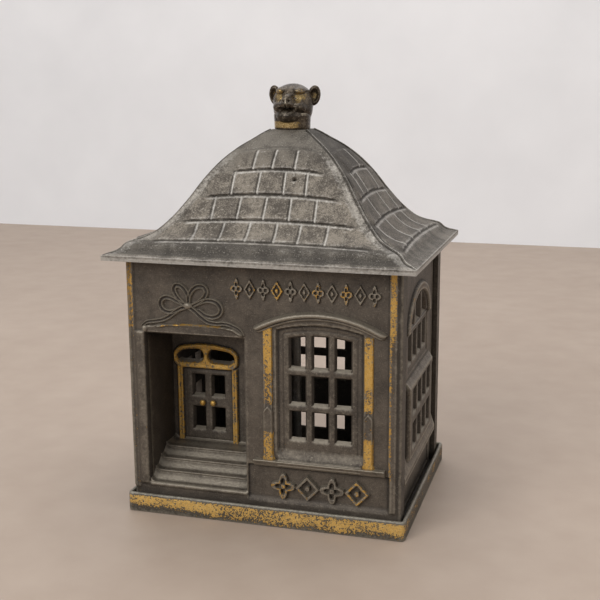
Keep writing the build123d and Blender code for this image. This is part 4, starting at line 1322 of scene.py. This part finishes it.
def roof():
    """Four slopes that meet along the hips, and the seat on top."""
    roof_slope("roof_front", False, -1, FRONT_ROWS, front_marks)
    roof_slope("roof_back", False, 1, FRONT_ROWS, no_marks, slot_hole=True)
    roof_slope("roof_right", True, 1, SIDE_PLATES, no_marks)
    roof_slope("roof_left", True, -1, SIDE_PLATES, no_marks)

    def seat(x, y, h):
        return np.stack([x, y, SEAT + h], -1)

    lines_x, lines_y = grid_lines([-SEAT_X, SEAT_X], 0.5), grid_lines([-SEAT_Y, SEAT_Y], 0.5)
    casting("roof_seat", lines_x, lines_y, lambda x, y: 0 * x, lambda x, y: SCREW_HOLE_R - np.hypot(x, y),
            seat, sunk(seat, ROOF_T), ROOF_IRON, "roof", ("roof",), draft=0.0, lip=(0.3, 0.1))
    low, high = SEAT - 7.0, SEAT - 1.2
    boss = [(SCREW_HOLE_R, low), (5.4, low), (5.6, low + 0.2), (5.6, high), (SCREW_HOLE_R, high)]
    tube("roof_boss", lathe_rings(boss, 48), DARK_IRON, "roof", ("roof",), closed=True,
         crease=30)


# ================================================================== finial
def ball(direction, centre, radii):
    """Distance from the head's middle, along a direction, to the far side of an ellipsoid; 0 where it
    misses."""
    d = direction / radii
    c = np.asarray(centre) / radii
    a, b, k = (d * d).sum(-1), (d * c).sum(-1), (c * c).sum() - 1
    root = b * b - a * k
    return np.where(root > 0, (b + np.sqrt(np.maximum(root, 0))) / a, 0.0)


HEAD = np.array([0.0, 0.0, SEAT + 9.0])


def unit_ball(down, around, gap):
    """Points on a ball of radius 1, in rings from top to bottom that stop at a small angle from its axis."""
    tip, turn = np.meshgrid(np.linspace(gap, math.pi - gap, down),
                            np.linspace(0, 2 * math.pi, around, endpoint=False), indexing="ij")
    return np.stack([np.sin(tip) * np.cos(turn), np.sin(tip) * np.sin(turn), np.cos(tip)], -1)


def head_surface():
    """The head as one surface about its middle: the far sides of its muscles' ellipsoids, softly joined by a
    power sum, then pressed in at eyes, nostrils and mouth. Returns its points, gold and a painted shade under
    the chin."""
    direction = unit_ball(150, 220, 0.02)
    muscles = (
        ((0.0, 1.3, 0.9), (6.9, 6.2, 5.7)),        # skull
        ((0.0, 0.9, -1.8), (6.85, 6.4, 7.4)),      # throat
        ((0.0, -3.7, -0.3), (3.1, 4.6, 2.4)),      # muzzle
        ((0.0, -5.3, 1.2), (2.1, 2.4, 1.9)),       # nose
        ((0.0, -3.0, -4.4), (4.6, 5.0, 3.0)),      # chin
        ((2.9, -2.7, -1.4), (2.9, 4.2, 2.2)),      # cheeks
        ((-2.9, -2.7, -1.4), (2.9, 4.2, 2.2)),
        ((3.0, -1.5, 4.0), (2.2, 3.0, 1.3)),       # brows
        ((-3.0, -1.5, 4.0), (2.2, 3.0, 1.3)),
    )
    power = 16.0
    total = sum(np.power(np.maximum(ball(direction, c, np.array(r)), 0.01), power) for c, r in muscles)
    radius = np.power(total, 1 / power)
    point = direction * radius[..., None]
    x, y, z = point[..., 0], point[..., 1], point[..., 2]
    facing = smooth(-y / 2.5)

    def press(cx, cz, rx, rz, depth):
        """A hollow of so much depth in the face; a negative depth raises it."""
        return -depth * np.exp(-((x - cx) / rx) ** 2 - ((z - cz) / rz) ** 2) * facing

    for sign in (-1, 1):
        radius = radius + press(3.4 * sign, 1.8, 1.6, 1.4, 0.7) + press(3.4 * sign, 1.6, 0.95, 0.9, -0.6)
        radius = radius + press(1.0 * sign, 0.7, 0.45, 0.42, 0.8)
    mouth = np.abs(z + 2.05 - 0.012 * x ** 2)
    radius = radius - 1.0 * smooth(1 - mouth / 0.75) * smooth((3.5 - np.abs(x)) / 1.4) * facing
    radius = radius - 0.4 * smooth(1 - np.abs(x) / 0.35) * strip(z, -1.8, -0.4, 0.4) * facing
    point = direction * radius[..., None] + HEAD
    point[..., 2] = np.maximum(point[..., 2], SEAT + 0.8)
    gold = 0.88 * np.exp(-((np.abs(x) - 3.9) / 2.2) ** 2 - ((z - 2.5) / 2.8) ** 2) * smooth(-y / 1.2)
    # Painted shade under the chin.
    shade = 0.55 * np.exp(-(x / 4.2) ** 2 - ((z + 5.0) / 2.0) ** 2) * facing
    return point, gold, shade


def ear(sign):
    """An upright cupped ear: a flattened ball whose front is pressed in. Returns its points and gold."""
    x, y, z = np.moveaxis(unit_ball(48, 72, 0.03), -1, 0)
    cup = smooth(np.clip(1 - (x ** 2 + z ** 2) / 0.60, 0, 1)) * (y < 0)
    y = y * (1 - 1.30 * cup)
    point = np.stack([2.25 * x, 1.2 * y, 3.5 * z], -1)
    lean, yaw = sign * 0.16, sign * 0.15
    c, s = math.cos(lean), math.sin(lean)
    point = point @ np.array([[c, 0, s], [0, 1, 0], [-s, 0, c]]).T
    c, s = math.cos(yaw), math.sin(yaw)
    point = point @ np.array([[c, -s, 0], [s, c, 0], [0, 0, 1]]).T
    return point + np.array([sign * 7.1, 2.7, SEAT + 11.5]), 0.66 * cup


def finial():
    """Head, ears and neck. The neck's paint is left only at the front and the left."""
    point, gold, shade = head_surface()
    # The head's painted shade under the chin goes into the dirt field.
    tube("finial_head", point, FINIAL_IRON, "finial", ("finial",),
         fields={"gold": gold, "dirt": shade}, gain=0.5)
    for side, sign in (("right", 1), ("left", -1)):
        point, gold = ear(sign)
        tube(f"finial_ear_{side}", point, FINIAL_IRON, "finial", ("finial",),
             fields={"gold": gold}, gain=0.4)
    neck = [(SCREW_HOLE_R, 0.0), (5.9, 0.0), (6.15, 0.2), (6.25, 0.7), (6.28, 1.6), (6.3, 2.6), (6.36, 3.6),
            (6.45, 4.8), (6.2, 5.6), (SCREW_HOLE_R, 6.4)]
    fine = np.linspace(0, len(neck) - 1, 46)
    neck = np.stack([np.interp(fine, np.arange(len(neck)), [p[k] for p in neck]) for k in (0, 1)], 1)
    rings = lathe_rings(neck + np.array([0.0, SEAT]), 96)
    level = rings[..., 2] - SEAT
    front = smooth((-rings[..., 1] * 0.75 - rings[..., 0] * 0.6 + 1.0) / 4.5)
    tube("finial_neck", rings, FINIAL_IRON, "finial", ("finial",), closed=True,
         fields={"gold": 0.95 * front * strip(level, 0.5, 2.9, 0.8)}, gain=0.4)


# ================================================================== assembly
base_rim()
base_floor()
front_wall()
back_wall()
window_trim("front_window", "front_wall", WINDOW_X, wrapped)
window_trim("back_window", "back_wall", 0.0, lambda s, z, h: turned(wrapped(s, z, h)))
porch_bow()
porch_lintel()
ornament_row("frieze_ornaments", *FRIEZE)
ornament_row("apron_ornaments", *APRON_ROW)
porch_lining()
porch_steps()
door()
side_walls()
roof()
finial()
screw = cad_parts["tie_screw"]
screw.data.materials.clear()
screw.data.materials.append(STEEL)


# ================================================================== stage, light and camera
# The camera: place in metres, angles in degrees, lens in millimetres, shift in sensor widths.
CAMERA_PLACE = (0.106752, -0.340394, 0.148256)
CAMERA_YAW, CAMERA_DOWN = 15.095, 11.726
CAMERA_LENS, CAMERA_SHIFT = 60.54, (-0.0564, -0.0186)
WALL_AT = 0.585                    # the wall behind the table


def pale(name, coarse, fine, low, high, roughness):
    """A plain finish that wanders between two tones. coarse and fine are each a noise's scale and share."""
    shop = Shop(name)
    tone = shop.noise(coarse[0], 3) * coarse[1] + shop.noise(fine[0], 3) * fine[1]
    return shop.finish(base_color=shop.ramp(tone, [(0.3, low), (0.7, high)]), roughness=roughness)


def studio():
    """A plain pale table with a pale wall behind it, soft light from above and from the right."""
    table = pale("pale_table", (9, 0.5), (60, 0.5), (0.32, 0.25, 0.20), (0.38, 0.305, 0.25), 0.55)
    wall = pale("pale_wall", (3, 0.6), (18, 0.4), (0.70, 0.70, 0.72), (0.80, 0.80, 0.82), 0.9)
    for name, corners, finish in (
        ("table", ((-3, -1.5, 0), (3, -1.5, 0), (3, WALL_AT, 0), (-3, WALL_AT, 0)), table),
        ("wall", ((-3, WALL_AT, -0.3), (3, WALL_AT, -0.3), (3, WALL_AT, 2.6), (-3, WALL_AT, 2.6)), wall),
    ):
        mesh = bpy.data.meshes.new(name)
        mesh.from_pydata(corners, [], [(0, 1, 2, 3)])
        mesh.materials.append(finish)
        piece = bpy.data.objects.new(name, mesh)
        bpy.context.scene.collection.objects.link(piece)

    world = bpy.data.worlds.new("studio")
    world.use_nodes = True
    world.node_tree.nodes["Background"].inputs["Color"].default_value = (0.97, 0.97, 0.98, 1.0)
    world.node_tree.nodes["Background"].inputs["Strength"].default_value = 0.50
    bpy.context.scene.world = world
    for name, place, aim, size, power, colour in (
        ("overhead", (-0.05, 0.15, 1.25), (0, 0, 0.08), 1.0, 9.0, (1.0, 0.99, 0.97)),
        ("front_key", (-0.45, -1.05, 0.80), (0, 0, 0.07), 0.9, 12.5, (1.0, 0.99, 0.97)),
        ("side_fill", (1.1, 0.0, 0.50), (0, 0, 0.08), 0.8, 3.0, (1.0, 0.95, 0.88)),
    ):
        lamp = bpy.data.lights.new(name, "AREA")
        lamp.shape, lamp.size, lamp.energy, lamp.color = "SQUARE", size, power, colour
        holder = bpy.data.objects.new(name, lamp)
        bpy.context.scene.collection.objects.link(holder)
        away = np.array(place) - np.array(aim)
        holder.location = place
        holder.rotation_euler = (math.atan2(math.hypot(away[0], away[1]), away[2]), 0,
                                 math.atan2(away[0], -away[1]))


def camera():
    """The camera, a little to the right of the front and above it."""
    data = bpy.data.cameras.new("camera")
    data.sensor_width = 36.0
    data.lens = CAMERA_LENS
    data.shift_x, data.shift_y = CAMERA_SHIFT
    data.clip_start, data.clip_end = 0.01, 20.0
    holder = bpy.data.objects.new("camera", data)
    bpy.context.scene.collection.objects.link(holder)
    yaw, pitch = math.radians(CAMERA_YAW), math.radians(90 - CAMERA_DOWN)
    holder.matrix_world = (Matrix.Translation(CAMERA_PLACE) @ Matrix.Rotation(yaw, 4, "Z")
                           @ Matrix.Rotation(pitch, 4, "X"))
    bpy.context.scene.camera = holder


studio()
camera()
bpy.context.scene.view_settings.view_transform = "Standard"
bpy.context.view_layer.update()
